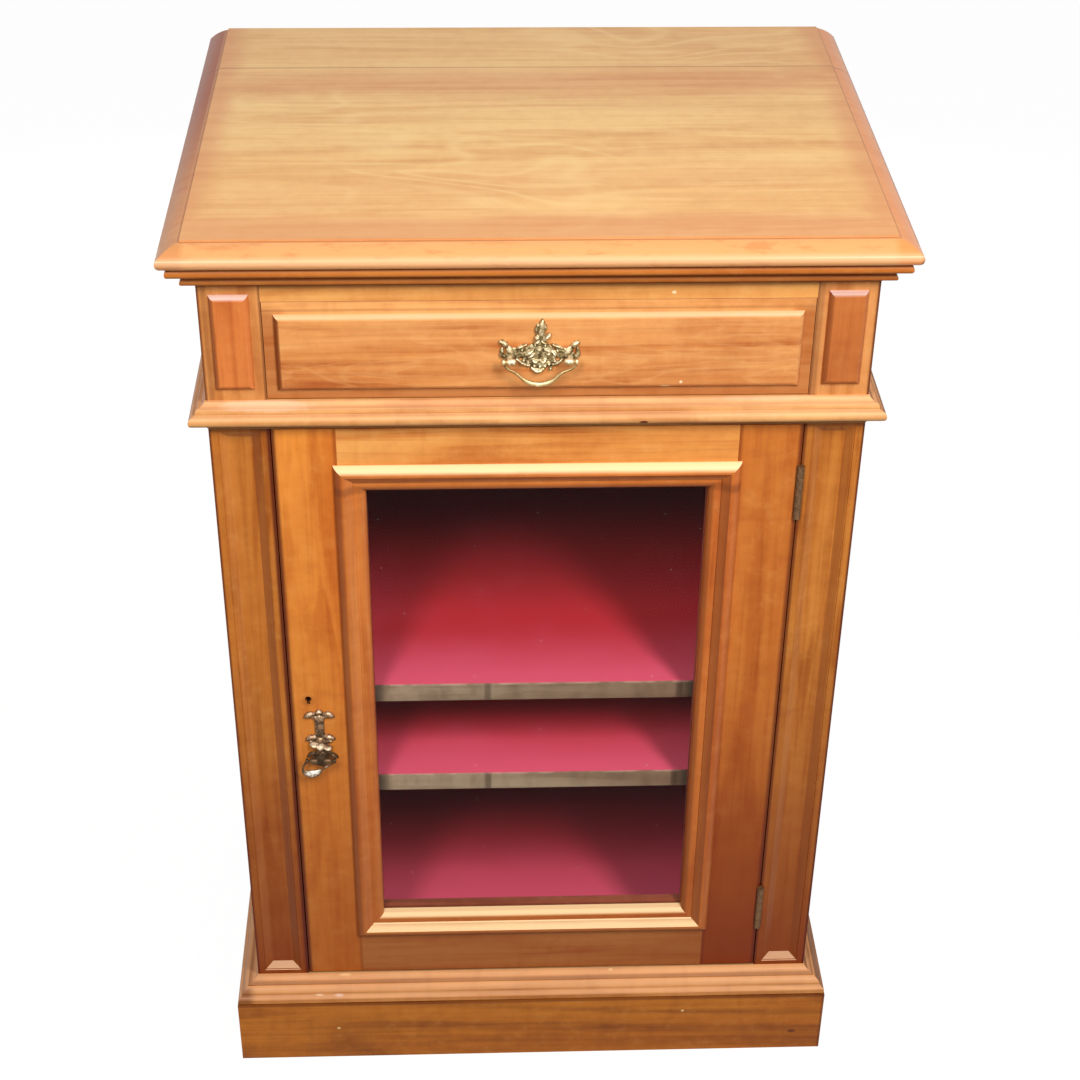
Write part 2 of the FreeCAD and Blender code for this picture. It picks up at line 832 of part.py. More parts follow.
def knuckle_room(centre_z):
    """The round space cut from both wooden edges for the knuckles to turn in."""
    low = centre_z - hinge_length * half
    return rod(
        hinge_knuckle_radius + hinge_relief, hinge_length, vector(hinge_x, hinge_y, low),
        vector(0, 0, 1))


def hinge_screws_in(face_x, side):
    """The screws of both leaves on one edge, heads flush with the leaves."""
    screws = []
    y = front + hinge_leaf_depth * hinge_screw_depth_share
    for centre_z in (hinge_upper_centre, hinge_lower_centre):
        lowest = centre_z - hinge_screw_spacing * (hinge_screws - 1) * half
        for index in range(hinge_screws):
            place = vector(face_x, y, lowest + hinge_screw_spacing * index)
            screws.append(wood_screw(place, vector(side, 0, 0)))
    return screws


def hinge_leaf(centre_z, face_x, side):
    """One leaf with its knuckles; the leaf on the case also carries the pin."""
    pitch = hinge_length / hinge_knuckles
    low = centre_z - hinge_length * half
    leaf = leaf_plate(face_x, centre_z, side)
    on_case = side > 0
    for index in range(hinge_knuckles):
        own = (index % 2 == 0) == on_case
        start = vector(hinge_x, hinge_y, low + pitch * index)
        if own:
            lift = vector(0, 0, hinge_knuckle_gap * half)
            knuckle = rod(
                hinge_knuckle_radius, pitch - hinge_knuckle_gap, start + lift, vector(0, 0, 1))
            leaf = leaf.fuse(knuckle)
        else:
            room = rod(hinge_knuckle_radius + hinge_relief, pitch, start, vector(0, 0, 1))
            leaf = leaf.cut(room)
    pin_start = vector(hinge_x, hinge_y, low)
    if on_case:
        leaf = leaf.fuse(rod(hinge_pin_radius, hinge_length, pin_start, vector(0, 0, 1)))
    else:
        bore = rod(
            hinge_pin_radius + hinge_pin_clearance, hinge_length, pin_start, vector(0, 0, 1))
        leaf = leaf.cut(bore)
    for screw in hinge_screws_in(face_x, side):
        leaf = leaf.cut(screw)
    return single(leaf.removeSplitter())


def hinges():
    case_leaves = []
    door_leaves = []
    for z in (hinge_upper_centre, hinge_lower_centre):
        case_leaves.append(hinge_leaf(z, opening_half, 1))
        door_leaves.append(hinge_leaf(z, door_half, -1))
    return {
        "hinge_case_leaves": group(case_leaves),
        "hinge_case_screws": group(hinge_screws_in(opening_half, 1)),
        "hinge_door_leaves": group(door_leaves),
        "hinge_door_screws": group(hinge_screws_in(door_half, -1)),
    }


# The lock let into the back of the left stile, its bolt drawn back, and the keyhole.

def lock_body_block():
    case = block(
        -door_half, lock_width - door_half, door_back - lock_depth, door_back,
        lock_centre_height - lock_height * half, lock_centre_height + lock_height * half)
    plate = block(
        -door_half, lock_plate_thickness - door_half, door_back - lock_plate_depth, door_back,
        lock_centre_height - lock_height * half, lock_centre_height + lock_height * half)
    return join([case, plate])


def lock_bolt_block(grow, reach):
    """The bolt or the room for it: grown all round by a clearance and reaching into the case."""
    middle_y = door_back - lock_depth * half
    return block(
        -door_half, reach - door_half, middle_y - bolt_thickness * half - grow,
        middle_y + bolt_thickness * half + grow, lock_centre_height - bolt_height * half - grow,
        lock_centre_height + bolt_height * half + grow)


def bolt_keep():
    """The mortise in the left pilaster that the bolt is thrown into."""
    middle_y = door_back - lock_depth * half
    play = bolt_mortise_play
    return block(
        -opening_half - bolt_throw - play, overrun - opening_half,
        middle_y - bolt_thickness * half - play, middle_y + bolt_thickness * half + play,
        lock_centre_height - bolt_height * half - play,
        lock_centre_height + bolt_height * half + play)


def keyhole():
    """A round hole over a slot, from the face of the stile to half way into the lock."""
    depth = door_thickness - lock_depth * half
    hole = rod(
        keyhole_radius, depth + overrun, vector(keyhole_x, front - overrun, lock_centre_height),
        vector(0, 1, 0))
    slot = block(
        keyhole_x - keyhole_slot_width * half, keyhole_x + keyhole_slot_width * half,
        front - overrun, front + depth, lock_centre_height - keyhole_slot_length,
        lock_centre_height)
    return join([hole, slot])


def lock_screw_list():
    screws = []
    for z in (lock_centre_height - lock_screw_drop, lock_centre_height + lock_screw_drop):
        place = vector(lock_width - door_half - lock_screw_inset, door_back, z)
        screws.append(wood_screw(place, vector(0, -1, 0)))
    return screws


def lock():
    case = lock_body_block().cut(lock_bolt_block(lock_clearance, bolt_length + bolt_throw))
    case = case.cut(keyhole())
    for screw in lock_screw_list():
        case = case.cut(screw)
    return {
        "lock_case": single(case),
        "lock_bolt": lock_bolt_block(0, bolt_length),
        "lock_screws": group(lock_screw_list()),
    }


# The door: tenoned stiles and rails, glazing moulding in front of the glass and beads behind it.

def door_rail(z0, z1):
    rail = block(-frame_half, frame_half, front, door_back, z0, z1)
    return join([rail, rail_tenons(z0, z1)])


def rail_tenons(z0, z1):
    middle = (front + door_back) * half
    reach = frame_half + tenon_length
    return block(
        -reach, reach, middle - tenon_thickness * half, middle + tenon_thickness * half,
        z0 + tenon_shoulder, z1 - tenon_shoulder)


def door_frame():
    stile = block(frame_half, door_half, front, door_back, door_bottom, door_top)
    stile = stile.cut(rail_tenons(door_bottom, frame_bottom)).cut(rail_tenons(frame_top, door_top))
    left = mirrored(stile).cut(lock_body_block()).cut(keyhole())
    for screw in lock_screw_list():
        left = left.cut(screw)
    left = drilled_for_posts(
        left, door_pull_x, door_pull_height, door_post_spacing, front, door_back)
    right = stile
    for z in (hinge_upper_centre, hinge_lower_centre):
        right = right.cut(knuckle_room(z)).cut(leaf_plate(door_half, z, -1))
    for screw in hinge_screws_in(door_half, -1):
        right = right.cut(screw)
    return {
        "door_stile_left": left,
        "door_stile_right": single(right),
        "door_rail_bottom": door_rail(door_bottom, frame_bottom),
        "door_rail_top": door_rail(frame_top, door_top),
    }


def framed_lengths(profile, width, y0, y1):
    """Four mitred lengths round the sight opening; the profile is (outwards, forwards)."""
    outer = sight_half + width
    low = sight_bottom - width
    high = sight_top + width
    inner_corners = [
        (-sight_half, sight_bottom), (sight_half, sight_bottom), (sight_half, sight_top),
        (-sight_half, sight_top),
    ]
    outer_corners = [(-outer, low), (outer, low), (outer, high), (-outer, high)]
    across = vector(outer + outer, 0, 0)
    upward = vector(0, 0, high - low)
    runs = [
        (lambda s, h: vector(-outer, front - h, sight_bottom - s), across),
        (lambda s, h: vector(sight_half + s, front - h, low), upward),
        (lambda s, h: vector(-outer, front - h, sight_top + s), across),
        (lambda s, h: vector(-sight_half - s, front - h, low), upward),
    ]
    lengths = []
    for index, (place, run) in enumerate(runs):
        after = (index + 1) % len(runs)
        corners = [
            inner_corners[index], inner_corners[after], outer_corners[after], outer_corners[index],
        ]
        bar = outline_face(profile, place).extrude(run)
        lengths.append(bar.common(front_prism(corners, y0, y1)))
    return group(lengths)


def glazing():
    face = scaled_outline(glazing_face_shares, glazing_width, glazing_rise)
    rebate = [
        (0, -glazing_depth, 0), (sight_inset, -glazing_depth, 0), (sight_inset, 0, 0),
    ]
    glass_front = front + glazing_depth
    glass_back = glass_front + glass_thickness
    bead = [
        (0, front - door_back, 0), (sight_inset, front - door_back, 0),
        (sight_inset, front - glass_back, 0), (0, front - glass_back, 0),
    ]
    return {
        "glazing_moulding": framed_lengths(
            rebate + face, glazing_width, front - glazing_rise - overrun, glass_front + overrun),
        "glazing_beads": framed_lengths(
            bead, sight_inset, glass_back - overrun, door_back + overrun),
        "door_glass": block(
            glass_play - frame_half, frame_half - glass_play, glass_front, glass_back,
            frame_bottom + glass_play, frame_top - glass_play),
    }


def door_stop():
    x1 = door_stop_lap - opening_half
    stop = block(
        x1 - door_stop_width, x1, face_back, face_back + door_stop_thickness, floor_top,
        waist_bottom)
    return {"door_stop": stop}


def all_parts():
    parts = {}
    for make in (
        top_boards, case_sides, back_boards, frieze_posts, drawer_top_rail, divider_rail,
        dust_board, rear_top_rail, drawer_runners, drawer_kickers, drawer_stops, pilasters,
        bottom_rail, bottom_board, glue_blocks, running_mouldings, plinth_boards, shelves,
        case_linings, drawer_box, drawer_panel, drawer_handle, door_handle, hinges, lock,
        door_frame, glazing, door_stop,
    ):
        parts.update(make())
    return parts


os.makedirs("parts", exist_ok=True)
for name, shape in all_parts().items():
    shape.exportStep("parts/" + name + ".step")
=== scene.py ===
import json
import math

import bpy
import numpy as np
from mathutils import Matrix, Vector


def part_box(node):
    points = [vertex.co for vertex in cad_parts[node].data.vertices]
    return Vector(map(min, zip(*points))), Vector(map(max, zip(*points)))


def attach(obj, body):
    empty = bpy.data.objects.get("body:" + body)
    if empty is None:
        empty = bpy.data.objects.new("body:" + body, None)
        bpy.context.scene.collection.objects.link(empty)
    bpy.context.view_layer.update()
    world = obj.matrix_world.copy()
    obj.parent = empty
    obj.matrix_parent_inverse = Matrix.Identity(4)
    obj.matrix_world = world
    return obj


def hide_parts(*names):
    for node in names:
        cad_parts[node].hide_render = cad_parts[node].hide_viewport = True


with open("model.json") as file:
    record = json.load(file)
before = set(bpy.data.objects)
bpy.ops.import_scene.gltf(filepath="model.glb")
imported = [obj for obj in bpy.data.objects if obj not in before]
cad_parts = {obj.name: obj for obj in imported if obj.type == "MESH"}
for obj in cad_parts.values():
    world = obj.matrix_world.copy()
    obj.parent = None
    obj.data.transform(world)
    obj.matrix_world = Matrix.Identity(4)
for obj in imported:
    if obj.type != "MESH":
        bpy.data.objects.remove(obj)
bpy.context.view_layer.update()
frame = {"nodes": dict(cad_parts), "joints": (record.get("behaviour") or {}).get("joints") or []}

nodes = frame["nodes"]


# Case of planed boards.
# The sides and face are solid timber finished with a warm, worn French polish, and the boards that
# are hidden inside and behind are left bare. All wood below takes its grain from this section.
class Shade:
    """A shader value: sums and products with it add Math nodes to its tree."""

    def __init__(self, tree, socket=None):
        self.tree = tree
        self.socket = socket

    def node(self, kind, settings=None, sockets=None, out=0):
        """Adds a node: its settings first, then a value or a link for each socket, by its name or
        number. The result is the output of that name or number."""
        made = self.tree.nodes.new(kind)
        for key, value in (settings or {}).items():
            setattr(made, key, value)
        for key, value in (sockets or {}).items():
            if isinstance(value, Shade):
                self.tree.links.new(value.socket, made.inputs[key])
            else:
                made.inputs[key].default_value = value
        return Shade(self.tree, made.outputs[out])

    def maths(self, operation, other=0.0, swap=False):
        """One operation on this value and another; swap puts the other first."""
        first, second = (other, self) if swap else (self, other)
        return self.node("ShaderNodeMath", {"operation": operation}, {0: first, 1: second})

    def __add__(self, other):
        return self.maths("ADD", other)

    def __sub__(self, other):
        return self.maths("SUBTRACT", other)

    def __rsub__(self, other):
        return self.maths("SUBTRACT", other, swap=True)

    def __mul__(self, other):
        return self.maths("MULTIPLY", other)

    def __pow__(self, other):
        return self.maths("POWER", other)

    def part(self, axis):
        """One coordinate of a place or a direction: 0, 1 or 2 for x, y or z."""
        return self.node("ShaderNodeSeparateXYZ", None, {0: self}, axis)

    def step(self, low, high):
        """0 below low, 1 above high, and a smooth climb between; low may be the larger."""
        sockets = {"Value": self, "From Min": low, "From Max": high}
        return self.node("ShaderNodeMapRange", {"interpolation_type": "SMOOTHSTEP"}, sockets)

    def band(self, middle, outer, inner):
        """1 within inner of a middle value, 0 beyond outer, and a smooth fall between."""
        return (self - middle).maths("ABSOLUTE").step(outer, inner)

    def mix(self, first, second):
        """The first colour where this is 0 and the second where it is 1."""
        return self.node("ShaderNodeMix", {"data_type": "RGBA"}, {0: self, 6: first, 7: second}, 2)

    def noise(self, place, scale, detail=3.0, rough=0.5, warp=0.0):
        """A smooth random value about 0.5 at each place."""
        sockets = {"Vector": place, "Scale": scale, "Detail": detail, "Roughness": rough,
                   "Distortion": warp}
        return self.node("ShaderNodeTexNoise", None, sockets)

    def stretched(self, place, scale, offset=(0.0, 0.0, 0.0)):
        """A place scaled apart along its three axes."""
        return self.node("ShaderNodeMapping", None, {"Vector": place, "Scale": scale,
                                                     "Location": offset})


def colour(red, green, blue):
    """A colour picked as screen values from 0 to 255, in the linear light that shaders use."""
    screen = np.array([red, green, blue]) / 255.0
    linear = np.where(screen <= 0.04045, screen / 12.92, ((screen + 0.055) / 1.055) ** 2.4)
    return (*linear.tolist(), 1.0)


def new_material(name):
    """An empty material with its shader, and a Shade to build values in its tree."""
    made = bpy.data.materials.new(name)
    made.use_nodes = True
    shader = made.node_tree.nodes["Principled BSDF"]
    return made, shader, Shade(made.node_tree)


def feed(shader, socket, value):
    """Links a value to one of the shader's sockets, or sets a constant there."""
    if isinstance(value, Shade):
        value.tree.links.new(value.socket, shader.inputs[socket])
    else:
        shader.inputs[socket].default_value = value


def roughen(shader, height, strength, depth):
    """Bumps the surface by a height from 0 to 1 that stands for a depth in metres."""
    sockets = {"Height": height, "Strength": strength, "Distance": depth}
    feed(shader, "Normal", height.node("ShaderNodeBump", None, sockets))


def past_mitre(shade, place, turned, middle, half, kept, kept_middle, kept_half):
    """The place of the grain in a moulding that turns at its mitres: two axes trade places where
    the distance past half, along the turned axis, is more than that along the kept one."""
    beyond = (place.part(turned) - middle).maths("ABSOLUTE") - half
    within = (place.part(kept) - kept_middle).maths("ABSOLUTE") - kept_half
    parts = [place.part(axis) for axis in range(3)]
    parts[turned], parts[kept] = parts[kept], parts[turned]
    swapped = shade.node("ShaderNodeCombineXYZ", None, dict(enumerate(parts)))
    side = beyond.maths("GREATER_THAN", within)
    return shade.node("ShaderNodeMix", {"data_type": "VECTOR"}, {0: side, 4: place, 5: swapped}, 1)


def wood(name, grain, pale, mid, deep, figure=1.0, seed=0.0, gloss=0.36, coat=0.05, tone=None,
         bands=7.0, wide=6.0, curl=0.5, streaky=0.26, loops=0.0, wavy=0.0, shine=0.13,
         mitre=None):
    """Polished satin walnut with its grain along one axis: 0, 1 or 2.

    Figure: a low noise, long along the grain, is cut into thin dark contour lines by a sharpened
    sine, which gives the nested loops of a flat-sawn board. Streaks: a fine noise drawn out along
    the grain. Curl: soft ripples across the grain. Blotches: wide patches from pale to mid. Loops:
    pale oval contours in patches. Wavy: pale lines that wander along the grain. Shine: how much
    the bare surface mirrors. Mitre: the values of past_mitre, for a moulding with corners."""
    made, shader, shade = new_material(name)
    whole_place = shade.node("ShaderNodeTexCoord", out="Object")
    place = past_mitre(shade, whole_place, *mitre) if mitre else whole_place

    def grained(along, across, offset, scale, detail, rough, warp=0.0):
        """A noise with one stretch along the grain and another across it."""
        stretch = tuple(along if axis == grain else across for axis in range(3))
        return shade.noise(shade.stretched(place, stretch, offset), scale, detail, rough, warp)

    hills = grained(0.17, 1.0, (seed * 3.1, seed * 1.7, seed * 2.3), wide, 1.2, 0.4, 0.5)
    rings = (hills * (bands * 2.0 * math.pi)).maths("SINE") * 0.5 + 0.5
    streaks = grained(6.0, 190.0, (0.0, 0.0, 0.0), 1.0, 3.0, 0.55, 0.4)
    soft = grained(3.0, 34.0, (seed, seed, seed), 1.0, 2.0, 0.5, 1.2)
    ripple = grained(46.0, 12.0, (seed, 2.0, 5.0), 1.0, 1.5, 0.5, 0.8)
    blotch = grained(0.17, 1.0, (seed, 4.0, 7.0), 5.0, 2.0, 0.5)
    mottle = shade.noise(place, 60.0, 4.0, 0.65)
    base = (blotch * 0.6 + soft * 0.4).step(0.4, 0.62).mix(pale, mid)
    dark = (rings ** 3.0) * (0.3 * figure) + streaks.step(0.4, 0.75) * streaky
    dark = dark + ripple.step(0.5, 0.75) * (0.22 * curl) + mottle.step(0.45, 0.75) * 0.16
    dark = dark + soft.step(0.52, 0.62) * (streaky * 0.8)
    base = dark.maths("MINIMUM", 1.0).mix(base, deep)
    to_white = (0.3, 0.16, 0.06, 1.0)
    bleached = tuple(part + (1.0 - part) * share for part, share in zip(pale, to_white))
    base = ((1.0 - mottle).step(0.5, 0.75) * 0.2).mix(base, bleached)
    if loops:
        oval_place = shade.stretched(place, (0.5, 1.0, 1.0), (seed, 0.4, 0.0))
        oval = shade.noise(oval_place, 12.0, 1.0, 0.4, 0.6)
        where = shade.noise(place, 5.0, 1.0, 0.4).step(0.48, 0.6)
        line = ((oval * 40.0).maths("SINE") * 0.5 + 0.5) ** 4.0
        base = (line * where * loops).mix(base, bleached)
    if wavy:
        wave = grained(7.0, 44.0, (seed, 9.0, 4.0), 1.0, 2.0, 0.5, 1.6)
        line = wave.band(0.52, 0.06, 0.0) * blotch.step(0.32, 0.55)
        base = (line * wavy).mix(base, bleached)
    if tone:
        base = tone(shade, whole_place, base)
    feed(shader, "Base Color", base)
    feed(shader, "Roughness", streaks * 0.1 + (gloss - 0.05))
    feed(shader, "Coat Weight", coat)
    feed(shader, "Coat Roughness", 0.2)
    feed(shader, "Specular IOR Level", shine)
    roughen(shader, streaks * 0.5 + rings * 0.2 + ripple * 0.3, 0.3, 0.0003)
    return made


def dress(material, *names):
    """Gives a finish to CAD nodes that keep their shape."""
    for name in names:
        slots = nodes[name].data.materials
        slots.clear()
        slots.append(material)


honey, amber, russet = colour(226, 146, 74), colour(214, 124, 54), colour(160, 74, 24)
# A dark brown for real dirt and for painted shade; a near black for painted shade along gaps and
# edges; a brown for painted shade on slopes that face left.
dirt_and_shade, gap_shade, left_slope_shade = colour(92, 36, 8), colour(84, 20, 4), colour(134, 66, 22)
# A pale lilac for a painted reflection on left returns; a pale tan for wear with a painted
# highlight.
left_return_reflection, wear_and_highlight_colour = colour(224, 186, 172), colour(246, 196, 152)
# A dark red-brown for painted shade towards the floor.
floor_shade_brown = colour(130, 48, 6)


def aged(depth=0.0, crease_shade=(), wear_and_highlight=0.0, under_shade=0.2, seam_shade=(), right=0.0, side_shade=0.0,
         return_light_and_shade=(0.0, 0.0), marks=(), wear_and_highlight_to=wear_and_highlight_colour):
    """A tone for timber that has been polished and handled for years, with painted light and shade.

    depth: painted shade, darker and redder towards the floor, and right: more so on that side.
    side_shade: painted shade where a slope faces left, and a faint painted highlight where it faces
    right. wear_and_highlight: worn pale, with a painted highlight, where an edge faces up.
    under_shade: painted shade where a face looks down. return_light_and_shade: a painted reflection
    on left faces and painted shade on right ones. crease_shade: painted shade in level lines.
    seam_shade: painted shade in upright lines along gaps and outer edges, on the faces that look to
    the front. Crease and seam shade are (middle, half width, strength). Marks of wear, some also
    painted reflections: (x, z, half width, half height, strength, colour)."""
    def tone(shade, place, base):
        x, z = place.part(0), place.part(2)
        # Painted shade: darker and redder towards the floor, and more so on the right.
        if depth:
            cloud = shade.noise(place, 6.0, 2.0, 0.5) * 0.2 - 0.1
            low = (z + cloud).step(0.56, 0.1) * (x.step(-0.05, 0.25) * right + depth)
            base = low.maths("MINIMUM", 1.0).mix(base, floor_shade_brown)
        facing = shade.node("ShaderNodeTexCoord", out="Normal")
        turn, ahead, rise = facing.part(0), facing.part(1), facing.part(2)
        # Painted shade on slopes that face left, and a faint painted highlight on those that face
        # right.
        if side_shade:
            slope = turn.step(-0.1, -0.5) * turn.step(-0.97, -0.9)
            base = (slope * side_shade).mix(base, left_slope_shade)
            slope = turn.step(0.1, 0.5) * turn.step(0.97, 0.9)
            base = (slope * (side_shade * 0.05)).mix(base, wear_and_highlight_colour)
        # Worn pale, with a painted highlight, on faces that look up.
        if wear_and_highlight:
            worn = shade.noise(place, 30.0, 3.0, 0.6) * 0.5 + 0.65
            worn = (rise.step(0.15, 0.65) * worn * wear_and_highlight).maths("MINIMUM", 1.0)
            base = worn.mix(base, wear_and_highlight_to)
        # Painted shade on faces that look down.
        if under_shade:
            base = (rise.step(-0.1, -0.7) * under_shade).mix(base, dirt_and_shade)
        # A painted reflection on faces that look left and painted shade on faces that look right.
        if return_light_and_shade[0]:
            base = (turn.step(-0.3, -0.6) * return_light_and_shade[0]).mix(base, left_return_reflection)
        if return_light_and_shade[1]:
            base = (turn.step(0.3, 0.6) * return_light_and_shade[1]).mix(base, dirt_and_shade)
        # Painted shade in level lines.
        for middle, half_width, strength in crease_shade:
            line = z.band(middle, half_width, half_width * 0.25)
            base = (line * strength).mix(base, dirt_and_shade)
        # Painted shade in upright lines along gaps and outer edges.
        for middle, half_width, strength in seam_shade:
            line = x.band(middle, half_width, half_width * 0.25)
            base = (line * ahead.step(-0.3, -0.7) * strength).mix(base, gap_shade)
        for mark_x, mark_z, wide, tall, strength, tint in marks:
            ragged = shade.noise(place, 90.0, 4.0, 0.7) * 2.4
            away = ((x - mark_x) * (1.0 / wide)) ** 2.0 + ((z - mark_z) * (1.0 / tall)) ** 2.0
            base = ((away * ragged).step(1.1, 0.2) * strength).mix(base, tint)
        return base
    return tone


# Painted shade towards the floor.
side_wood = wood("side_wood", 2, honey, amber, russet, 1.0, 1.0, tone=aged(0.6))
dress(side_wood, "side_left", "side_right")
bare_wood = wood("bare_wood", 2, colour(196, 150, 98), colour(180, 132, 82),
                 colour(132, 90, 52), 1.0, 2.0, 0.62, 0.0)
dress(bare_wood, "back_boards", "glue_blocks")
bare_cross_wood = wood("bare_cross_wood", 0, colour(190, 142, 92), colour(176, 128, 78),
                       colour(130, 86, 50), 1.0, 3.0, 0.62, 0.0)
dress(bare_cross_wood, "bottom_board", "dust_board", "rear_top_rail", "bottom_rail",
      "drawer_stops")
bare_deep_wood = wood("bare_deep_wood", 1, colour(186, 138, 88), colour(170, 122, 74),
                      colour(126, 84, 48), 1.0, 4.0, 0.62, 0.0)
dress(bare_deep_wood, "drawer_runners", "drawer_kickers", "shelf_bearers")


# Face frame and pilasters.
# Upright posts and pilasters with sunk panels stand at each side of the drawer and the door. They
# are tenoned to the rails above and below the drawer, and the grain runs with each piece.
case_half = float(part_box("side_right")[1][0])
opening_half = 0.2272
# Painted shade along the outer edges and the gaps of the face frame.
case_edge_shade = ((-case_half, 0.003, 0.8), (case_half, 0.003, 0.9))
post_edge_shade = case_edge_shade + ((-opening_half, 0.004, 0.9), (opening_half, 0.003, 0.7))
# Painted shade under the waist moulding.
under_waist_shade = ((0.7475, 0.004, 0.5),)
# Painted shade towards the floor and the right, under the waist moulding, along gaps and edges and
# on slopes that face left; wear with a painted highlight on faces that look up.
post_wood = wood("post_wood", 2, colour(208, 132, 56), colour(194, 113, 40),
                 colour(146, 72, 16), 0.8, 5.0, streaky=0.45,
                 tone=aged(0.8, under_waist_shade, 0.9, seam_shade=post_edge_shade, right=0.1, side_shade=0.5))
dress(post_wood, "pilaster_left", "pilaster_right", "door_stop")
# Painted shade along the gaps and beside the frieze blocks.
frieze_edge_shade = case_edge_shade + ((-opening_half, 0.0024, 0.6), (opening_half, 0.0024, 0.6),
                             (-0.2725, 0.0035, 0.35), (0.2302, 0.0035, 0.35))
frieze_wood = wood("frieze_wood", 2, colour(226, 156, 92), colour(212, 138, 72),
                   colour(160, 84, 34), 0.6, 5.5, tone=aged(seam_shade=frieze_edge_shade))
dress(frieze_wood, "frieze_post_left", "frieze_post_right")
rail_speck = (0.109, 0.874, 0.0025, 0.002, 0.7, colour(255, 236, 190))
# Painted shade in level lines below the bed moulding and above the drawer.
rail_wood = wood("rail_wood", 0, colour(238, 176, 100), colour(226, 154, 80),
                 colour(180, 100, 44), 0.5, 6.0,
                 tone=aged(crease_shade=((0.8825, 0.004, 0.3), (0.8615, 0.002, 0.3)),
                           marks=(rail_speck,)))
dress(rail_wood, "drawer_top_rail", "drawer_divider_rail")
# Painted shade over the right block and on slopes that face left, and a pink painted highlight with
# wear on faces that look up.
block_wood = wood("block_wood", 2, colour(222, 130, 64), colour(206, 108, 48),
                  colour(164, 72, 28), 0.4, 7.0,
                  tone=aged(wear_and_highlight=0.85, side_shade=0.6, seam_shade=((0.251, 0.07, 0.3),),
                            wear_and_highlight_to=colour(224, 190, 178)))
dress(block_wood, "frieze_blocks")


# Mouldings and plinth.
# The bed moulding, waist moulding and plinth capping are run in lengths, mitred at the front
# corners and glued to the case. The plinth boards below are plain and more worn than the rest.
case_front = float(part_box("plinth_front")[1][1])
far_behind = 1.0
return_mitre = (0, 0.0, case_half, 1, far_behind, far_behind - case_front)
# Painted shade between the members and on right returns, a painted reflection on left returns, and
# wear with a painted highlight on faces that look up.
bed_crease_shade = ((0.8955, 0.003, 0.4), (0.9075, 0.003, 0.45), (0.8835, 0.003, 0.35))
bed_wood = wood("bed_wood", 0, colour(194, 116, 50), colour(180, 96, 36), russet, 0.5, 8.0,
                tone=aged(crease_shade=bed_crease_shade, wear_and_highlight=0.12, return_light_and_shade=(0.2, 0.7)), shine=0.03,
                mitre=return_mitre)
dress(bed_wood, "bed_moulding")
# The waist moulding has the same painted light and shade.
waist_crease_shade = ((0.7668, 0.0016, 0.2), (0.7715, 0.0014, 0.15), (0.7495, 0.002, 0.35))
waist_marks = ((0.0877, 0.7595, 0.0045, 0.0018, 0.95, colour(96, 30, 10)),
               (-0.23, 0.773, 0.045, 0.005, 0.3, colour(244, 210, 184)),
               (0.19, 0.775, 0.05, 0.003, 0.3, colour(236, 184, 150)))
waist_wood = wood("waist_wood", 0, colour(228, 170, 108), colour(216, 150, 88), russet, 0.5, 9.0,
                  tone=aged(crease_shade=waist_crease_shade, wear_and_highlight=0.3, return_light_and_shade=(0.4, 0.75),
                            marks=waist_marks), shine=0.03, mitre=return_mitre)
dress(waist_wood, "waist_moulding")
plinth_colours = (colour(198, 116, 34), colour(180, 98, 26), colour(118, 56, 12))
# Painted shade under the plinth cap.
under_cap_shade = ((0.0765, 0.003, 0.6),)
plinth_marks = ((-0.1982, 0.0422, 0.0022, 0.0018, 0.8, colour(250, 214, 150)),
                (0.154, 0.0578, 0.0022, 0.0018, 0.8, colour(250, 214, 150)),
                (0.2688, 0.0246, 0.006, 0.003, 0.75, colour(84, 30, 8)))
# Painted shade under the cap and at the right end; the marks are wear and a knot.
plinth_wood = wood("plinth_wood", 0, *plinth_colours, 1.0, 10.0,
                   tone=aged(crease_shade=under_cap_shade, seam_shade=((0.2985, 0.003, 0.5),),
                             marks=plinth_marks))
dress(plinth_wood, "plinth_front")
plinth_side_wood = wood("plinth_side_wood", 1, *plinth_colours, 1.0, 10.2,
                        tone=aged(crease_shade=under_cap_shade))
dress(plinth_side_wood, "plinth_left", "plinth_right")
# The cap has the same painted light and shade, with painted shade at its left end; its marks are
# wear.
cap_crease_shade = ((0.0953, 0.0016, 0.45), (0.0874, 0.0016, 0.15), (0.0772, 0.0014, 0.5))
cap_marks = ((-0.216, 0.0865, 0.005, 0.0013, 0.6, colour(250, 206, 170)),
             (-0.196, 0.086, 0.006, 0.0015, 0.7, colour(236, 196, 176)),
             (-0.19, 0.0995, 0.008, 0.0015, 0.6, colour(252, 200, 140)),
             (0.0801, 0.0995, 0.003, 0.0015, 0.6, colour(250, 206, 150)))
cap_wood = wood("cap_wood", 0, colour(222, 150, 88), colour(208, 130, 68), colour(140, 72, 26),
                0.6, 10.5, tone=aged(crease_shade=cap_crease_shade, wear_and_highlight=0.35, return_light_and_shade=(0.1, 0.7),
                                     seam_shade=((-0.2925, 0.014, 0.55),), marks=cap_marks),
                shine=0.03, mitre=return_mitre)
dress(cap_wood, "plinth_cap")


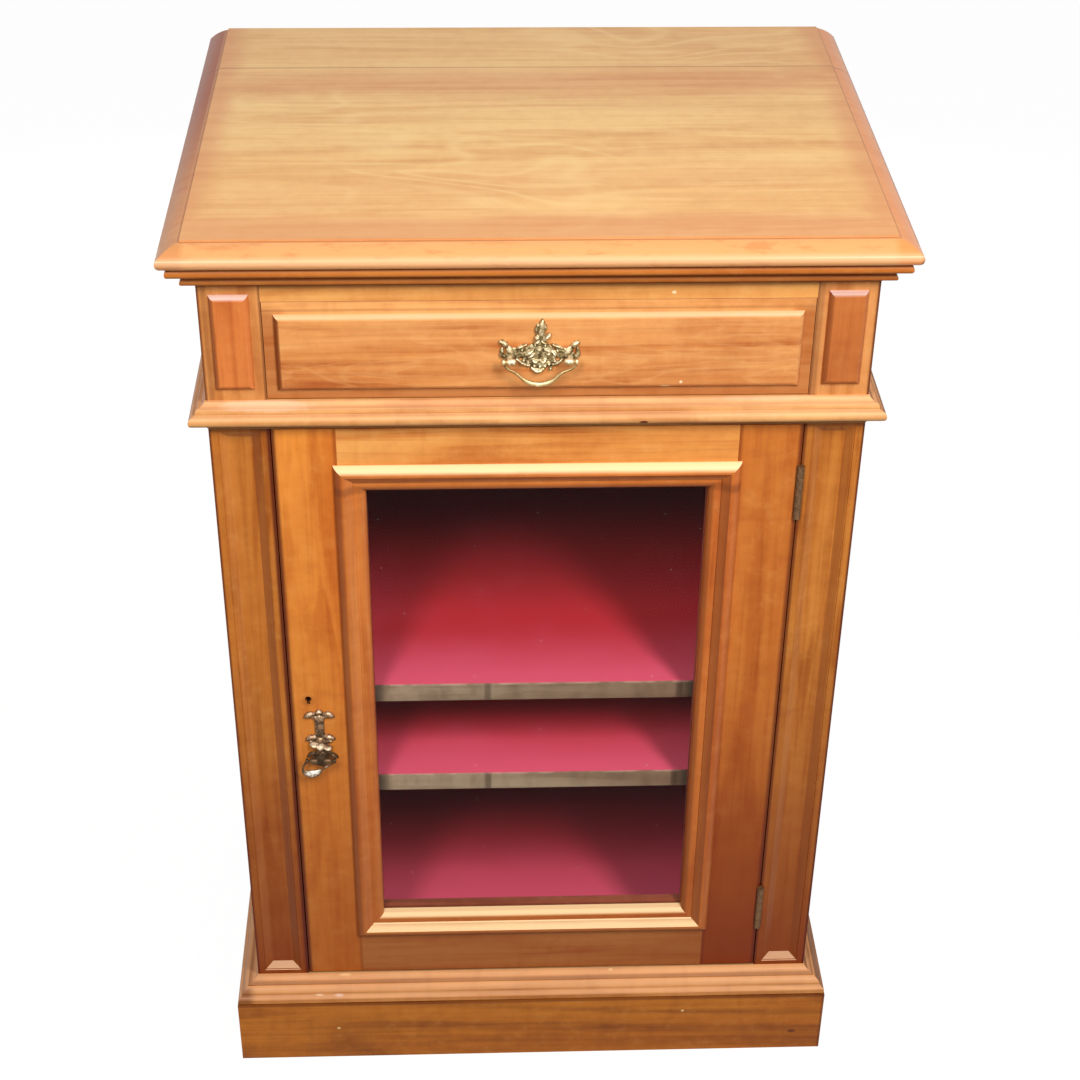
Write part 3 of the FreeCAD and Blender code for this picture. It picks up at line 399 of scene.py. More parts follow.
# Top.
# Two boards glued edge to edge with a thumb moulded edge on the front and sides. The polish has
# bleached to tan in the middle and kept its red at the edges, and there is a band of figure.
def top_tone(shade, place, base):
    """Bleached in the middle; redder within a hand of the edges and in a band before the joint;
    stains on the moulded edge and a painted highlight on its rounded front; painted shade in the
    quirks behind it and at the right end; a dark line in the joint; the left edge has kept its
    dark polish."""
    x, y, z = place.part(0), place.part(1), place.part(2)
    across = x.maths("ABSOLUTE")
    wander = shade.noise(place, 7.0, 3.0, 0.55) * 0.03 - 0.015
    red = (across + wander).step(0.26, 0.285).maths("MAXIMUM", (y + wander).step(-0.165, -0.195))
    red = red.maths("MAXIMUM", (y + wander).band(0.1, 0.05, 0.0) * 0.7)
    base = (red * 0.55).mix(base, colour(210, 132, 84))
    moulded = z.step(top_height - 0.0012, top_height - 0.0025)
    ahead, left, right = y.step(-0.215, -0.219), x.step(-0.28, -0.288), x.step(0.28, 0.288)
    base = (moulded * ahead * 0.85).mix(base, colour(222, 158, 100))
    stains = shade.noise(shade.stretched(place, (0.35, 1.0, 1.0)), 90.0, 4.0, 0.65)
    base = (stains.step(0.5, 0.72) * moulded * 0.45).mix(base, colour(190, 112, 62))
    polish = moulded * left * (y.step(-0.2, 0.12) * 0.75 + 0.3)
    base = polish.mix(base, colour(160, 76, 30))
    base = (moulded * right * 0.6).mix(base, colour(226, 134, 68))
    # Painted shade at the right end.
    base = (x.step(0.3015, 0.3045) * 0.7).mix(base, dirt_and_shade)
    # A painted highlight on the rounded front edge.
    nose_highlight = z.band(nose_height, 0.0045, 0.001) * ahead
    base = (nose_highlight * 0.45).mix(base, wear_and_highlight_colour)
    # Painted shade in the quirks behind the moulded edge.
    quirk_shade = y.band(quirk_front, 0.0016, 0.0004) * across.step(0.2885, 0.2875)
    side_quirk_shade = across.band(quirk_half, 0.0016, 0.0004) * y.step(-0.223, -0.221)
    base = (quirk_shade.maths("MAXIMUM", side_quirk_shade * 0.6) * 0.5).mix(base, colour(142, 72, 40))
    return (y.band(joint_y, 0.0012, 0.0003) * 0.55).mix(base, dirt_and_shade)


top_height = float(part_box("top_front_board")[1][2])
joint_y = float(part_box("top_back_board")[0][1])
nose_height, quirk_front, quirk_half = 0.9165, -0.2211, 0.2876
top_wood = wood("top_wood", 0, colour(240, 194, 126), colour(234, 180, 112), colour(206, 140, 76),
                0.9, 11.0, 0.3, 0.12, tone=top_tone, bands=6.0, wide=4.5, curl=0.2, loops=0.4)
dress(top_wood, "top_front_board", "top_back_board")


# Cloth linings.
# Crimson baize is glued to the floor, the back, the sides and the top of each shelf.
def cloth(name, main, dusty_and_lit, deep, fade_and_light):
    """A felted cloth: a fine fuzz over a soft patchiness, painted shade in deep red at the back,
    and paler from fading and painted light from one depth in the case to another nearer the light,
    with a few specks of lint."""
    made, shader, shade = new_material(name)
    place = shade.node("ShaderNodeTexCoord", out="Object")
    fuzz = shade.noise(place, 900.0, 3.0, 0.7)
    patch = shade.noise(place, 9.0, 3.0, 0.55)
    base = (patch.step(0.45, 0.75) * 0.16).mix(main, dusty_and_lit)
    y = place.part(1)
    # Painted shade towards the back of the case.
    base = (y.step(0.02, 0.16) * 0.8).mix(base, deep)
    # Faded cloth, paler with painted light towards the front.
    faded_and_lit = (y + patch * 0.1 - 0.02).step(*fade_and_light) * (patch * 0.6 + 0.55)
    base = (faded_and_lit + fuzz.step(0.35, 0.7) * 0.06).maths("MINIMUM", 1.0).mix(base, dusty_and_lit)
    speck = shade.node("ShaderNodeTexVoronoi", {"voronoi_dimensions": "2D"},
                       {"Vector": place, "Scale": 11.0})
    base = (speck.step(0.012, 0.007) * 0.7).mix(base, colour(244, 178, 176))
    feed(shader, "Base Color", base)
    feed(shader, "Roughness", 0.95)
    feed(shader, "Sheen Weight", 0.1)
    feed(shader, "Sheen Roughness", 0.5)
    roughen(shader, fuzz, 0.5, 0.0004)
    return made


# The deep crimson is painted shade at the back; the pink is fading and painted light near the
# front.
crimson, faded_and_lit_pink, back_shade_crimson = colour(206, 4, 26), colour(250, 90, 124), colour(104, 4, 14)
shelf_cloth = cloth("shelf_cloth", crimson, faded_and_lit_pink, back_shade_crimson, (-0.05, -0.165))
dress(shelf_cloth, "shelf_linings", "lining_walls")
floor_cloth = cloth("floor_cloth", colour(196, 26, 44), faded_and_lit_pink, back_shade_crimson, (0.04, -0.12))
dress(floor_cloth, "lining_floor")


# Shelves.
# Two boards lie on bearers. Their front edges are unpolished, grey brown and rubbed pale on top.
def shelf_tone(shade, place, base):
    """Rubbed pale along the top arris, darker to the right and at both ends, with two knots."""
    x, z = place.part(0), place.part(2)
    base = (x.step(-0.06, 0.14) * 0.45).mix(base, colour(120, 78, 54))
    patch = shade.noise(shade.stretched(place, (1.0, 0.2, 0.4)), 60.0, 3.0, 0.6)
    base = (patch.step(0.38, 0.8) * 0.4).mix(base, colour(84, 58, 42))
    base = (x.maths("ABSOLUTE").step(0.138, 0.15) * 0.75).mix(base, colour(60, 40, 30))
    for knot_x in (-0.0435, 0.137):
        base = (x.band(knot_x, 0.0045, 0.0015) * 0.55).mix(base, colour(64, 40, 26))
    rubs = shade.noise(place, 70.0, 3.0, 0.7).step(0.4, 0.6)
    for shelf_top in shelf_tops:
        worn = z.band(shelf_top, 0.002, 0.0006) * rubs
        base = (worn * 0.5).mix(base, colour(224, 180, 162))
    return base


shelf_tops = [float(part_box(name)[1][2]) for name in ("shelf_upper", "shelf_lower")]
shelf_wood = wood("shelf_wood", 0, colour(190, 158, 132), colour(168, 137, 112),
                  colour(104, 74, 54), 0.5, 12.0, 0.6, 0.0, tone=shelf_tone)
dress(shelf_wood, "shelf_upper", "shelf_lower")


# Drawer.
# A plain box on runners behind a lapped front with a bevelled panel planted on it.
def drawer_tone(shade, place, base):
    """Darker at both ends and along the bottom, round the planted panel."""
    base = drawer_age(shade, place, base)
    x, z = place.part(0), place.part(2)
    ends = x.maths("ABSOLUTE").step(0.204, 0.213) * z.step(0.866, 0.852)
    foot = z.step(0.788, 0.783)
    return (ends.maths("MAXIMUM", foot) * 0.62).mix(base, colour(156, 74, 24))


# Wear with a painted highlight on faces that look up, and painted shade in a level line below the
# top edge.
drawer_age = aged(wear_and_highlight=0.4, crease_shade=((0.8598, 0.002, 0.3),))
drawer_wood = wood("drawer_wood", 0, colour(242, 174, 104), colour(230, 154, 84), russet,
                   0.6, 13.0, tone=drawer_tone)
dress(drawer_wood, "drawer_front")
# Pale spots along the panel's lower edge: wear with a painted reflection.
panel_wear_and_reflection = ((0.105, 0.7885, 0.005, 0.0012, 0.6, colour(255, 220, 170)),
               (0.118, 0.7925, 0.0016, 0.0016, 0.8, colour(255, 230, 190)))
# Wear with a painted highlight on faces that look up, and painted shade on slopes that face left.
panel_wood = wood("panel_wood", 0, colour(230, 160, 94), colour(216, 134, 68),
                  colour(170, 86, 38), 0.9, 14.0, bands=5.0, wide=9.0, curl=0.35, streaky=0.4,
                  wavy=0.22, tone=aged(wear_and_highlight=0.75, side_shade=1.0, wear_and_highlight_to=colour(240, 188, 142),
                                       marks=panel_wear_and_reflection))
dress(panel_wood, "drawer_panel")
dress(bare_deep_wood, "drawer_side_left", "drawer_side_right")
dress(bare_cross_wood, "drawer_back", "drawer_bottom")


# Door.
# Two stiles and two rails, tenoned, with a glazing moulding planted round the opening, the glass
# behind it and beads at the back. The keyhole is cut through the left stile.
keyhole_x, keyhole_z = -0.2093, 0.4565
stile_front = float(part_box("door_stile_left")[0][1])


def stile_tone(shade, place, base):
    """As the other face timber, with a smudge round the keyhole and bare brown wood inside it."""
    base = stile_age(shade, place, base)
    x, y, z = place.part(0), place.part(1), place.part(2)
    away = ((x - keyhole_x) ** 2.0 + (z - keyhole_z + 0.002) ** 2.0) ** 0.5
    base = (away.step(0.0085, 0.003) * 0.3).mix(base, dirt_and_shade)
    inside = y.step(stile_front + 0.0001, stile_front + 0.0006) * away.step(0.012, 0.011)
    return inside.mix(base, colour(110, 64, 36))


door_half, moulding_seat = 0.2262, 0.1725
# Painted shade towards the floor, in the gap beside the door and beside the glazing moulding.
stile_age = aged(0.5, seam_shade=((-door_half, 0.0052, 0.9), (-moulding_seat, 0.003, 0.35)))
stile_wood = wood("stile_wood", 2, colour(236, 146, 58), colour(222, 124, 42),
                  colour(176, 82, 22), 0.7, 15.0, tone=stile_tone)
dress(stile_wood, "door_stile_left")
# Painted shade in the gap by the hinges, beside the glazing moulding and towards the floor.
hinge_edge_shade = ((door_half, 0.005, 0.75), (moulding_seat, 0.003, 0.3))
hinge_stile_wood = wood("hinge_stile_wood", 2, colour(214, 128, 52), colour(200, 108, 38),
                        colour(150, 62, 16), 0.7, 15.5, tone=aged(1.0, seam_shade=hinge_edge_shade))
dress(hinge_stile_wood, "door_stile_right")
# Painted shade towards the floor and the right.
door_rail_wood = wood("door_rail_wood", 0, colour(236, 166, 88), colour(226, 146, 70),
                      colour(176, 86, 30), 0.7, 16.0, tone=aged(0.72, right=0.1), streaky=0.36)
dress(door_rail_wood, "door_rail_top", "door_rail_bottom")
moulding_width = 0.027
moulding_low, moulding_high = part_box("glazing_moulding")
sight_middle = float(moulding_low[2] + moulding_high[2]) / 2.0
sight_tall = float(moulding_high[2]) - sight_middle - moulding_width
sight_wide = float(moulding_high[0]) - moulding_width
# Painted shade towards the floor, in a level line on the top member, on faces that look down and on
# slopes that face left; wear with a painted highlight on faces that look up.
glazing_wood = wood("glazing_wood", 2, colour(216, 128, 58), colour(202, 106, 42),
                    colour(150, 66, 20), 0.4, 17.0,
                    tone=aged(0.3, ((0.6865, 0.0065, 0.4),), 1.25, 0.25, side_shade=0.6,
                              wear_and_highlight_to=colour(251, 208, 154)),
                    mitre=(2, sight_middle, sight_tall, 0, 0.0, sight_wide))
dress(glazing_wood, "glazing_moulding")
bead_wood = wood("bead_wood", 0, colour(184, 96, 70), colour(162, 80, 56), colour(96, 44, 30),
                 0.6, 18.0, 0.5, 0.0, mitre=(0, 0.0, sight_wide, 2, sight_middle, sight_tall))
dress(bead_wood, "glazing_beads")


def window_glass():
    """Thin clear glass: light passes straight through and the surface mirrors a little."""
    made, shader, shade = new_material("window_glass")
    tree = made.node_tree
    clear = tree.nodes.new("ShaderNodeBsdfTransparent")
    clear.inputs["Color"].default_value = (0.96, 0.98, 0.97, 1.0)
    feed(shader, "Base Color", (1.0, 1.0, 1.0, 1.0))
    feed(shader, "Roughness", 0.02)
    feed(shader, "Metallic", 1.0)
    fresnel = shade.node("ShaderNodeFresnel", None, {"IOR": 1.3})
    back_face = shade.node("ShaderNodeNewGeometry", out="Backfacing")
    both = shade.node("ShaderNodeMixShader", None,
                      {0: fresnel * (1.0 - back_face) * 0.4, 1: Shade(tree, clear.outputs[0]),
                       2: Shade(tree, shader.outputs[0])})
    tree.links.new(both.socket, tree.nodes["Material Output"].inputs["Surface"])
    return made


dress(window_glass(), "door_glass")


# Brass of the lock, hinges and handles.
# The handles are cast and chased: every leaf and scroll is rounded, with a painted highlight on
# top, dark with old lacquer, polish and painted shade in the hollows, and painted shade underneath.
def brass(name, bright, middle, dull, gloss, face=0.0, relief=0.0, pits=0.3, shade_band=None):
    """Old brass, mottled. With a relief, the metal runs from dull at the depth of its face to
    bright that much further forward, as old polish and painted shade in the hollows, and from
    painted shade where it faces down to a painted highlight where it faces up, and pits break it
    up. A shade band (height, half width, strength) is darkened as painted shade."""
    made, shader, shade = new_material(name)
    place = shade.node("ShaderNodeTexCoord", out="Object")
    mottle = shade.noise(place, 420.0, 4.0, 0.6)
    light = mottle.step(0.3, 0.7)
    if relief:
        # A painted highlight where the metal faces up and painted shade where it faces down; darker
        # in the hollows as old polish and painted shade.
        high = place.part(1).step(face, face - relief)
        rise = shade.node("ShaderNodeNewGeometry", out="Normal").part(2)
        chased = shade.noise(place, 300.0, 1.0, 0.4, 1.0).step(0.35, 0.65)
        light = high * 0.55 + rise.step(-0.35, 0.85) * 0.55 - 0.02 + (chased - 0.5) * pits
        # Painted shade in a level band.
        if shade_band:
            height, half_width, strength = shade_band
            band_shade = place.part(2).band(height, half_width, half_width * 0.6)
            light = light * (1.0 - band_shade * strength)
    base = light.step(-0.05, 0.45).mix(dull, middle)
    base = light.step(0.35, 1.0).mix(base, bright)
    feed(shader, "Base Color", base)
    feed(shader, "Metallic", 0.65)
    feed(shader, "Roughness", mottle * 0.2 + gloss)
    roughen(shader, mottle, 0.35, 0.0004)
    return made


hinge_brass = brass("hinge_brass", colour(132, 98, 66), colour(110, 80, 52),
                    colour(84, 58, 36), 0.5)
dress(hinge_brass, "hinge_case_leaves", "hinge_door_leaves", "hinge_case_screws",
      "hinge_door_screws", "lock_bolt", "lock_screws")
lock_iron = brass("lock_iron", colour(120, 112, 100), colour(96, 86, 76), colour(70, 62, 54), 0.4)
dress(lock_iron, "lock_case")


def swept_form(points, across, out, fullness=0.5, rings=20, sides=12, facing=(0.0, -1.0, 0.0)):
    """A closed rounded form along a line, as (vertices, quads, triangles).

    The line runs straight between the points and is then rounded by averaging each place with its
    neighbours. Each ring is an ellipse in the plane of the side direction and the out direction:
    half sizes across and out times sin(pi t) to the power of fullness, where t runs from 0 to 1
    along the line. A point closes each end."""
    points = np.array(points, dtype=float)
    steps = np.concatenate([[0.0], np.cumsum(np.linalg.norm(np.diff(points, axis=0), axis=1))])
    t = np.linspace(0.0, 1.0, rings + 2)
    line = np.stack([np.interp(t * steps[-1], steps, points[:, i]) for i in range(3)], axis=1)
    for _ in range(rings // 8):
        line[1:-1] = (line[:-2] + line[1:-1] * 2.0 + line[2:]) / 4.0
    along = np.gradient(line, axis=0)
    along /= np.linalg.norm(along, axis=1, keepdims=True)
    side = np.cross(along, np.array(facing))
    side /= np.maximum(np.linalg.norm(side, axis=1, keepdims=True), 0.000001)
    lift = np.cross(side, along)
    swell = np.sin(np.pi * t[1:-1]) ** fullness
    turn = np.linspace(0.0, 2.0 * np.pi, sides, endpoint=False)
    wide = (across * swell[:, None] * np.cos(turn))[..., None]
    high = (out * swell[:, None] * np.sin(turn))[..., None]
    ring = line[1:-1, None] + side[1:-1, None] * wide + lift[1:-1, None] * high
    places = np.concatenate([ring.reshape(-1, 3), line[:1], line[-1:]])
    row, column = np.meshgrid(np.arange(rings - 1), np.arange(sides), indexing="ij")
    after = (column + 1) % sides
    quads = np.stack([row * sides + column, row * sides + after, (row + 1) * sides + after,
                      (row + 1) * sides + column], axis=-1).reshape(-1, 4)
    first, last = rings * sides, rings * sides + 1
    around = np.arange(sides)
    beside = (around + 1) % sides
    start = np.stack([beside, around, np.full(sides, first)], axis=1)
    end = np.stack([(rings - 1) * sides + around, (rings - 1) * sides + beside,
                    np.full(sides, last)], axis=1)
    return places, quads, np.concatenate([start, end])


def casting(name, forms, material, body, replaced, voxel):
    """One piece cast from overlapping rounded forms: they are fused on a lattice of voxels,
    softened a little, and stand for the replaced nodes."""
    places, faces, total = [], [], 0
    for spots, quads, triangles in forms:
        places.append(spots)
        faces += (quads + total).tolist() + (triangles + total).tolist()
        total += len(spots)
    rough = bpy.data.meshes.new(name + "_forms")
    rough.from_pydata(np.concatenate(places).tolist(), [], faces)
    piece = bpy.data.objects.new(name, rough)
    bpy.context.scene.collection.objects.link(piece)
    fuse = piece.modifiers.new("fuse", "REMESH")
    fuse.mode = "VOXEL"
    fuse.voxel_size = voxel
    soften = piece.modifiers.new("soften", "SMOOTH")
    soften.factor = 0.6
    soften.iterations = 4
    depsgraph = bpy.context.evaluated_depsgraph_get()
    whole = bpy.data.meshes.new_from_object(piece.evaluated_get(depsgraph))
    piece.modifiers.clear()
    piece.data = whole
    whole.name = name
    whole.materials.clear()
    whole.materials.append(material)
    whole.polygons.foreach_set("use_smooth", np.ones(len(whole.polygons), dtype=bool))
    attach(piece, body)
    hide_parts(*replaced)


def relief(centre_x, centre_z, face, rows):
    """Carved leaves and beads on a plate, swept at the depth of its face. Each row is (x, z) points
    in millimetres from the middle of the posts, half width, half depth, and fullness of the ends;
    a row with one point is a round bead."""
    forms = []
    for spots, wide, deep, full in rows:
        spots = list(spots)
        if len(spots) == 1:
            (x, z), = spots
            spots = [(x - wide * 0.98, z), (x + wide * 0.98, z)]
        line = [(centre_x + x / 1000.0, face, centre_z + z / 1000.0) for x, z in spots]
        forms.append(swept_form(line, wide / 1000.0, deep / 1000.0, full))
    return forms


# Drawer handle.
# A cast plate with a flower between two upturned leaf wings and a leaf finial above, pinned by two
# posts; a swan-neck bail hangs from the posts.
pivots = {joint["name"]: joint["pos_m"] for joint in frame["joints"] if "pos_m" in joint}
drawer_x, drawer_pivot, drawer_z = pivots["drawer_bail_swing"]
drawer_face, drawer_collar, drawer_ground = -0.2172, -0.2165, -0.2168
drawer_post_half, drawer_eye_half = 0.025, 0.0301
plate_voxel, post_voxel, bail_voxel = 0.00036, 0.0004, 0.0003
drawer_rows = [
    # the ground of the plate
    ([(-13.5, 5.0), (0.0, 9.5), (12.5, 5.0)], 4.6, 1.7, 0.5),
    ([(-15.0, 0.5), (14.0, 0.5)], 9.0, 1.5, 0.4),
    ([(-12.0, -4.5), (0.0, -9.0), (12.0, -4.5)], 4.0, 1.6, 0.5),
    # beads round its rim
    ([(-8.6, -8.4)], 1.3, 2.8, 0.5),
    ([(-4.6, -9.4)], 1.4, 3.0, 0.5),
    ([(0.0, -9.6)], 1.4, 2.8, 0.5),
    ([(4.4, -9.0)], 1.4, 3.0, 0.5),
    ([(12.4, -4.0)], 1.4, 3.2, 0.5),
    ([(-13.4, -3.4)], 1.5, 3.2, 0.5),
    ([(-16.0, 4.6), (-13.6, 8.0)], 1.3, 3.0, 0.5),
    ([(13.4, 7.4), (16.2, 3.4)], 1.3, 3.0, 0.5),
    ([(-4.0, 11.0)], 1.4, 3.2, 0.5),
    ([(4.4, 10.6)], 1.4, 3.2, 0.5),
    # the two wings: their ground, leaves and the scrolls that tie them
    ([(-27.0, 3.0), (-12.0, 3.0)], 5.4, 1.3, 0.3),
    ([(27.0, 2.5), (12.0, 2.5)], 5.2, 1.3, 0.3),
    ([(-34.0, 14.8), (-29.5, 12.8), (-26.0, 8.0)], 2.5, 3.4, 0.6),
    ([(33.0, 13.6), (29.5, 11.8), (25.5, 7.5)], 2.6, 3.4, 0.6),
    ([(-28.0, 10.0), (-24.0, 5.0), (-21.0, -1.5)], 3.4, 2.9, 0.5),
    ([(27.0, 9.5), (23.5, 4.5), (20.5, -1.5)], 3.3, 2.9, 0.5),
    ([(-31.0, 9.0), (-31.5, 1.5), (-26.0, -3.0)], 2.0, 2.0, 0.5),
    ([(31.0, 8.5), (31.5, 1.0), (26.0, -3.5)], 2.0, 2.0, 0.5),
    ([(-21.0, 6.5), (-15.0, 9.5), (-10.0, 11.5)], 1.3, 2.6, 0.5),
    ([(20.5, 6.5), (14.5, 9.5), (9.0, 11.5)], 1.3, 2.6, 0.5),
    ([(-20.0, -2.0), (-15.0, -6.0), (-9.0, -9.5)], 1.3, 2.4, 0.5),
    ([(20.0, -2.0), (15.0, -6.0), (9.0, -9.5)], 1.3, 2.4, 0.5),
    # the flower's heart and petals
    ([(-0.5, 7.2)], 2.7, 4.6, 0.5),
    ([(-4.2, 6.4), (-8.5, 4.4), (-12.8, 0.8)], 1.9, 4.4, 0.5),
    ([(-3.6, 3.2), (-7.5, 1.0), (-10.5, -2.0)], 1.5, 4.0, 0.5),
    ([(2.6, 6.0), (7.0, 6.6), (10.0, 3.0)], 1.7, 4.3, 0.5),
    ([(4.0, 2.6), (7.5, 3.0), (8.5, -0.6)], 1.5, 4.1, 0.5),
    ([(10.0, 5.5), (12.6, 1.5), (9.8, -3.0)], 1.4, 3.6, 0.5),
    ([(-6.8, -1.6), (-3.8, -4.6), (-0.6, -3.2)], 1.7, 4.6, 0.5),
    ([(-0.6, -3.2), (3.0, -4.8), (5.6, -1.4)], 1.7, 4.5, 0.5),
    ([(-0.7, 3.2)], 1.0, 2.4, 0.5),
    # beads and leaves below and beside the flower
    ([(7.6, -6.6)], 1.7, 3.8, 0.5),
    ([(-9.6, -5.6)], 1.5, 3.2, 0.5),
    ([(-8.0, -10.4), (-1.4, -14.2), (5.0, -10.8)], 1.9, 3.6, 0.6),
    ([(9.0, -11.4)], 1.7, 3.0, 0.5),
    ([(-6.0, 11.5), (-2.5, 12.8), (0.5, 15.0)], 1.5, 2.6, 0.5),
    ([(7.0, 11.0), (3.0, 12.6), (0.5, 15.0)], 1.5, 2.6, 0.5),
    ([(-2.4, 17.6)], 2.5, 4.2, 0.5),
    ([(2.2, 14.4), (5.4, 18.0), (9.2, 21.6)], 1.9, 4.4, 0.5),
    # the finial leaf
    ([(0.6, 14.0), (1.0, 20.0), (1.8, 29.0), (2.0, 35.4)], 3.1, 4.4, 0.6),
    ([(-1.4, 19.0), (-3.2, 24.0), (-1.6, 31.0)], 1.5, 1.8, 0.6),
    ([(2.6, 22.0), (4.6, 26.0), (3.0, 32.0)], 1.3, 2.2, 0.6)]
drawer_brass = brass("drawer_brass", colour(232, 216, 178), colour(156, 134, 88),
                     colour(80, 62, 32), 0.38, drawer_ground, 0.0046, 0.55)
casting("drawer_plate_cast", relief(drawer_x, drawer_z, drawer_face, drawer_rows), drawer_brass,
        "drawer", ["drawer_handle_plate"], plate_voxel)


def post_forms(centre_x, height, half, pivot, face, wood_back):
    """Two posts: a barrel head across, a neck into the plate, a collar on it, a tail through the
    wood, and its nut."""
    forms = []
    upright = (0.0, 0.0, 1.0)
    head, neck, collar, tail, nut = 0.0029, 0.0025, 0.0042, 0.0019, 0.0044
    for side in (-1.0, 1.0):
        x = centre_x + side * half
        barrel = [(x + side * 0.003, pivot, height), (x - side * 0.0056, pivot, height)]
        forms.append(swept_form(barrel, head, head, 0.35, 16, 20))
        for start, end, radius, blunt in ((pivot, face, neck, 0.1),
                                          (face - 0.0012, face + 0.0006, collar, 0.3),
                                          (face, wood_back + 0.0024, tail, 0.05)):
            stem = [(x, start, height), (x, end, height)]
            forms.append(swept_form(stem, radius, radius, blunt, 14, 14, upright))
        stub = [(x, wood_back, height), (x, wood_back + 0.0025, height)]
        forms.append(swept_form(stub, nut, nut, 0.12, 8, 6, upright))
    return forms


drawer_wood_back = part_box("drawer_front")[1][1]
casting("drawer_posts_cast",
        post_forms(drawer_x, drawer_z, drawer_post_half, drawer_pivot, drawer_collar,
                   drawer_wood_back),
        drawer_brass, "drawer", ["drawer_handle_posts"], post_voxel)


def bail_forms(centre_x, depth, height, half, line, thin, thick, deep, grip):
    """A bail: a line of (x, z) points in millimetres from the middle of its pins, swept thin, and
    swept again thick and deep along its grip; two eyes that its pins pass through, and the pins."""
    spots = [(centre_x + x / 1000.0, depth, height + z / 1000.0) for x, z in line]
    forms = [swept_form(spots, thin, thin, 0.12, 72, 16),
             swept_form(spots[grip], thick, deep, 0.6, 60, 16)]
    eye_radius, pin_radius = 0.0027, 0.0012
    for side in (-1.0, 1.0):
        eye = centre_x + side * half
        ring = [(eye - 0.0017, depth, height), (eye + 0.0017, depth, height)]
        forms.append(swept_form(ring, eye_radius, eye_radius, 0.3, 10, 18))
        pin = [(eye - side * 0.0046, depth, height), (eye, depth, height)]
        forms.append(swept_form(pin, pin_radius, pin_radius, 0.2, 8, 12))
    return forms


drawer_bail_line = [
    (-30.1, 0.0), (-29.3, -3.6), (-27.0, -6.8), (-22.8, -8.7), (-19.6, -10.6), (-17.0, -13.4),
    (-14.0, -16.4), (-10.6, -19.0), (-6.0, -20.8), (0.0, -21.4), (6.0, -20.4), (10.8, -17.8),
    (14.0, -14.6), (17.2, -11.2), (20.6, -9.0), (24.8, -7.8), (28.4, -5.4), (29.8, -3.0),
    (30.1, 0.0)]
bail_brass = brass("bail_brass", colour(240, 222, 172), colour(184, 152, 98),
                   colour(104, 76, 38), 0.34, -0.2278, 0.0014)
casting("drawer_bail_cast",
        bail_forms(drawer_x, drawer_pivot, drawer_z, drawer_eye_half, drawer_bail_line, 0.0012,
                   0.0023, 0.002, slice(4, -4)),
        bail_brass, "drawer_bail", ["drawer_bail"], bail_voxel)


# Door pull.
# A smaller plate of the same casting: a trefoil over a shield and neck, a crosspiece with curled
# ends, and a domed body with a leaf at each side, where a heavy crescent bail hangs.
pull_x, pull_pivot, pull_z = pivots["door_pull_swing"]
pull_face, pull_collar = -0.2126, -0.2122
pull_post_half, pull_eye_half = 0.0078, 0.0129
pull_rows = [
    # the ground of the plate
    ([(0.0, 47.0), (0.0, 22.0)], 4.6, 1.3, 0.2),
    ([(0.0, 30.0), (0.0, 12.0)], 5.6, 1.2, 0.3),
    ([(-11.0, 16.5), (11.0, 16.5)], 4.6, 1.3, 0.3),
    ([(-7.5, -1.0), (7.5, -1.0)], 6.4, 1.3, 0.3),
    # the trefoil and the band under it
    ([(0.2, 54.0), (0.0, 48.0)], 3.6, 3.4, 0.6),
    ([(-2.5, 48.4), (-8.0, 49.0), (-14.4, 44.6)], 3.0, 3.4, 0.6),
    ([(2.5, 48.4), (8.5, 49.0), (14.6, 44.4)], 3.0, 3.4, 0.6),
    ([(-12.6, 44.6), (-6.0, 45.0), (0.0, 44.4), (6.0, 45.0), (12.8, 44.4)], 1.6, 1.3, 0.4),
    # the shield and neck
    ([(-4.6, 47.0), (-2.6, 42.0), (0.0, 38.6)], 1.9, 2.4, 0.5),
    ([(4.8, 47.0), (2.8, 42.0), (0.2, 38.6)], 1.9, 2.4, 0.5),
    ([(0.0, 48.0), (0.0, 37.0)], 3.4, 2.9, 0.5),
    ([(0.0, 39.0), (0.0, 23.0)], 4.4, 1.9, 0.35),
    # the crosspiece with curled ends
    ([(-2.5, 20.6), (-8.5, 21.4), (-14.0, 17.2)], 2.7, 3.2, 0.6),
    ([(2.5, 20.8), (8.5, 22.0), (14.4, 17.8)], 2.7, 3.4, 0.6),
    ([(-10.4, 17.0), (-7.6, 14.8)], 1.6, 2.2, 0.5),
    ([(10.8, 17.4), (8.4, 14.6)], 1.6, 2.2, 0.5),
    ([(-1.8, 21.0), (0.0, 17.6), (1.8, 21.0)], 2.6, 3.4, 0.5),
    ([(0.0, 17.0)], 3.2, 3.4, 0.5),
    # the folded leaf across the domed body
    ([(-10.6, 13.2), (-1.6, 11.6)], 2.7, 5.6, 0.45),
    ([(-5.4, 10.8), (4.8, 9.8)], 3.7, 6.2, 0.45),
    ([(1.8, 9.4), (11.2, 8.2)], 2.5, 5.6, 0.45),
    ([(-0.4, -3.6)], 8.0, 3.2, 0.5),
    # side leaves, the rim of the body and its tip
    ([(-5.0, 2.0), (-9.0, 1.0), (-13.6, -3.0)], 2.0, 2.9, 0.7),
    ([(5.0, 0.4), (11.0, -0.6), (16.4, -4.4)], 2.3, 3.2, 0.7),
    ([(-7.0, 4.0), (-9.4, -2.6), (-6.6, -9.4), (0.0, -13.2)], 1.5, 3.0, 0.5),
    ([(6.8, 4.0), (8.6, -2.6), (5.6, -9.4), (0.0, -13.2)], 1.5, 3.0, 0.5),
    ([(-1.0, -11.4), (2.2, -11.6)], 1.8, 5.4, 0.5),
    ([(-3.0, 0.6), (-0.8, 2.8), (2.0, 0.4)], 1.2, 4.2, 0.5)]
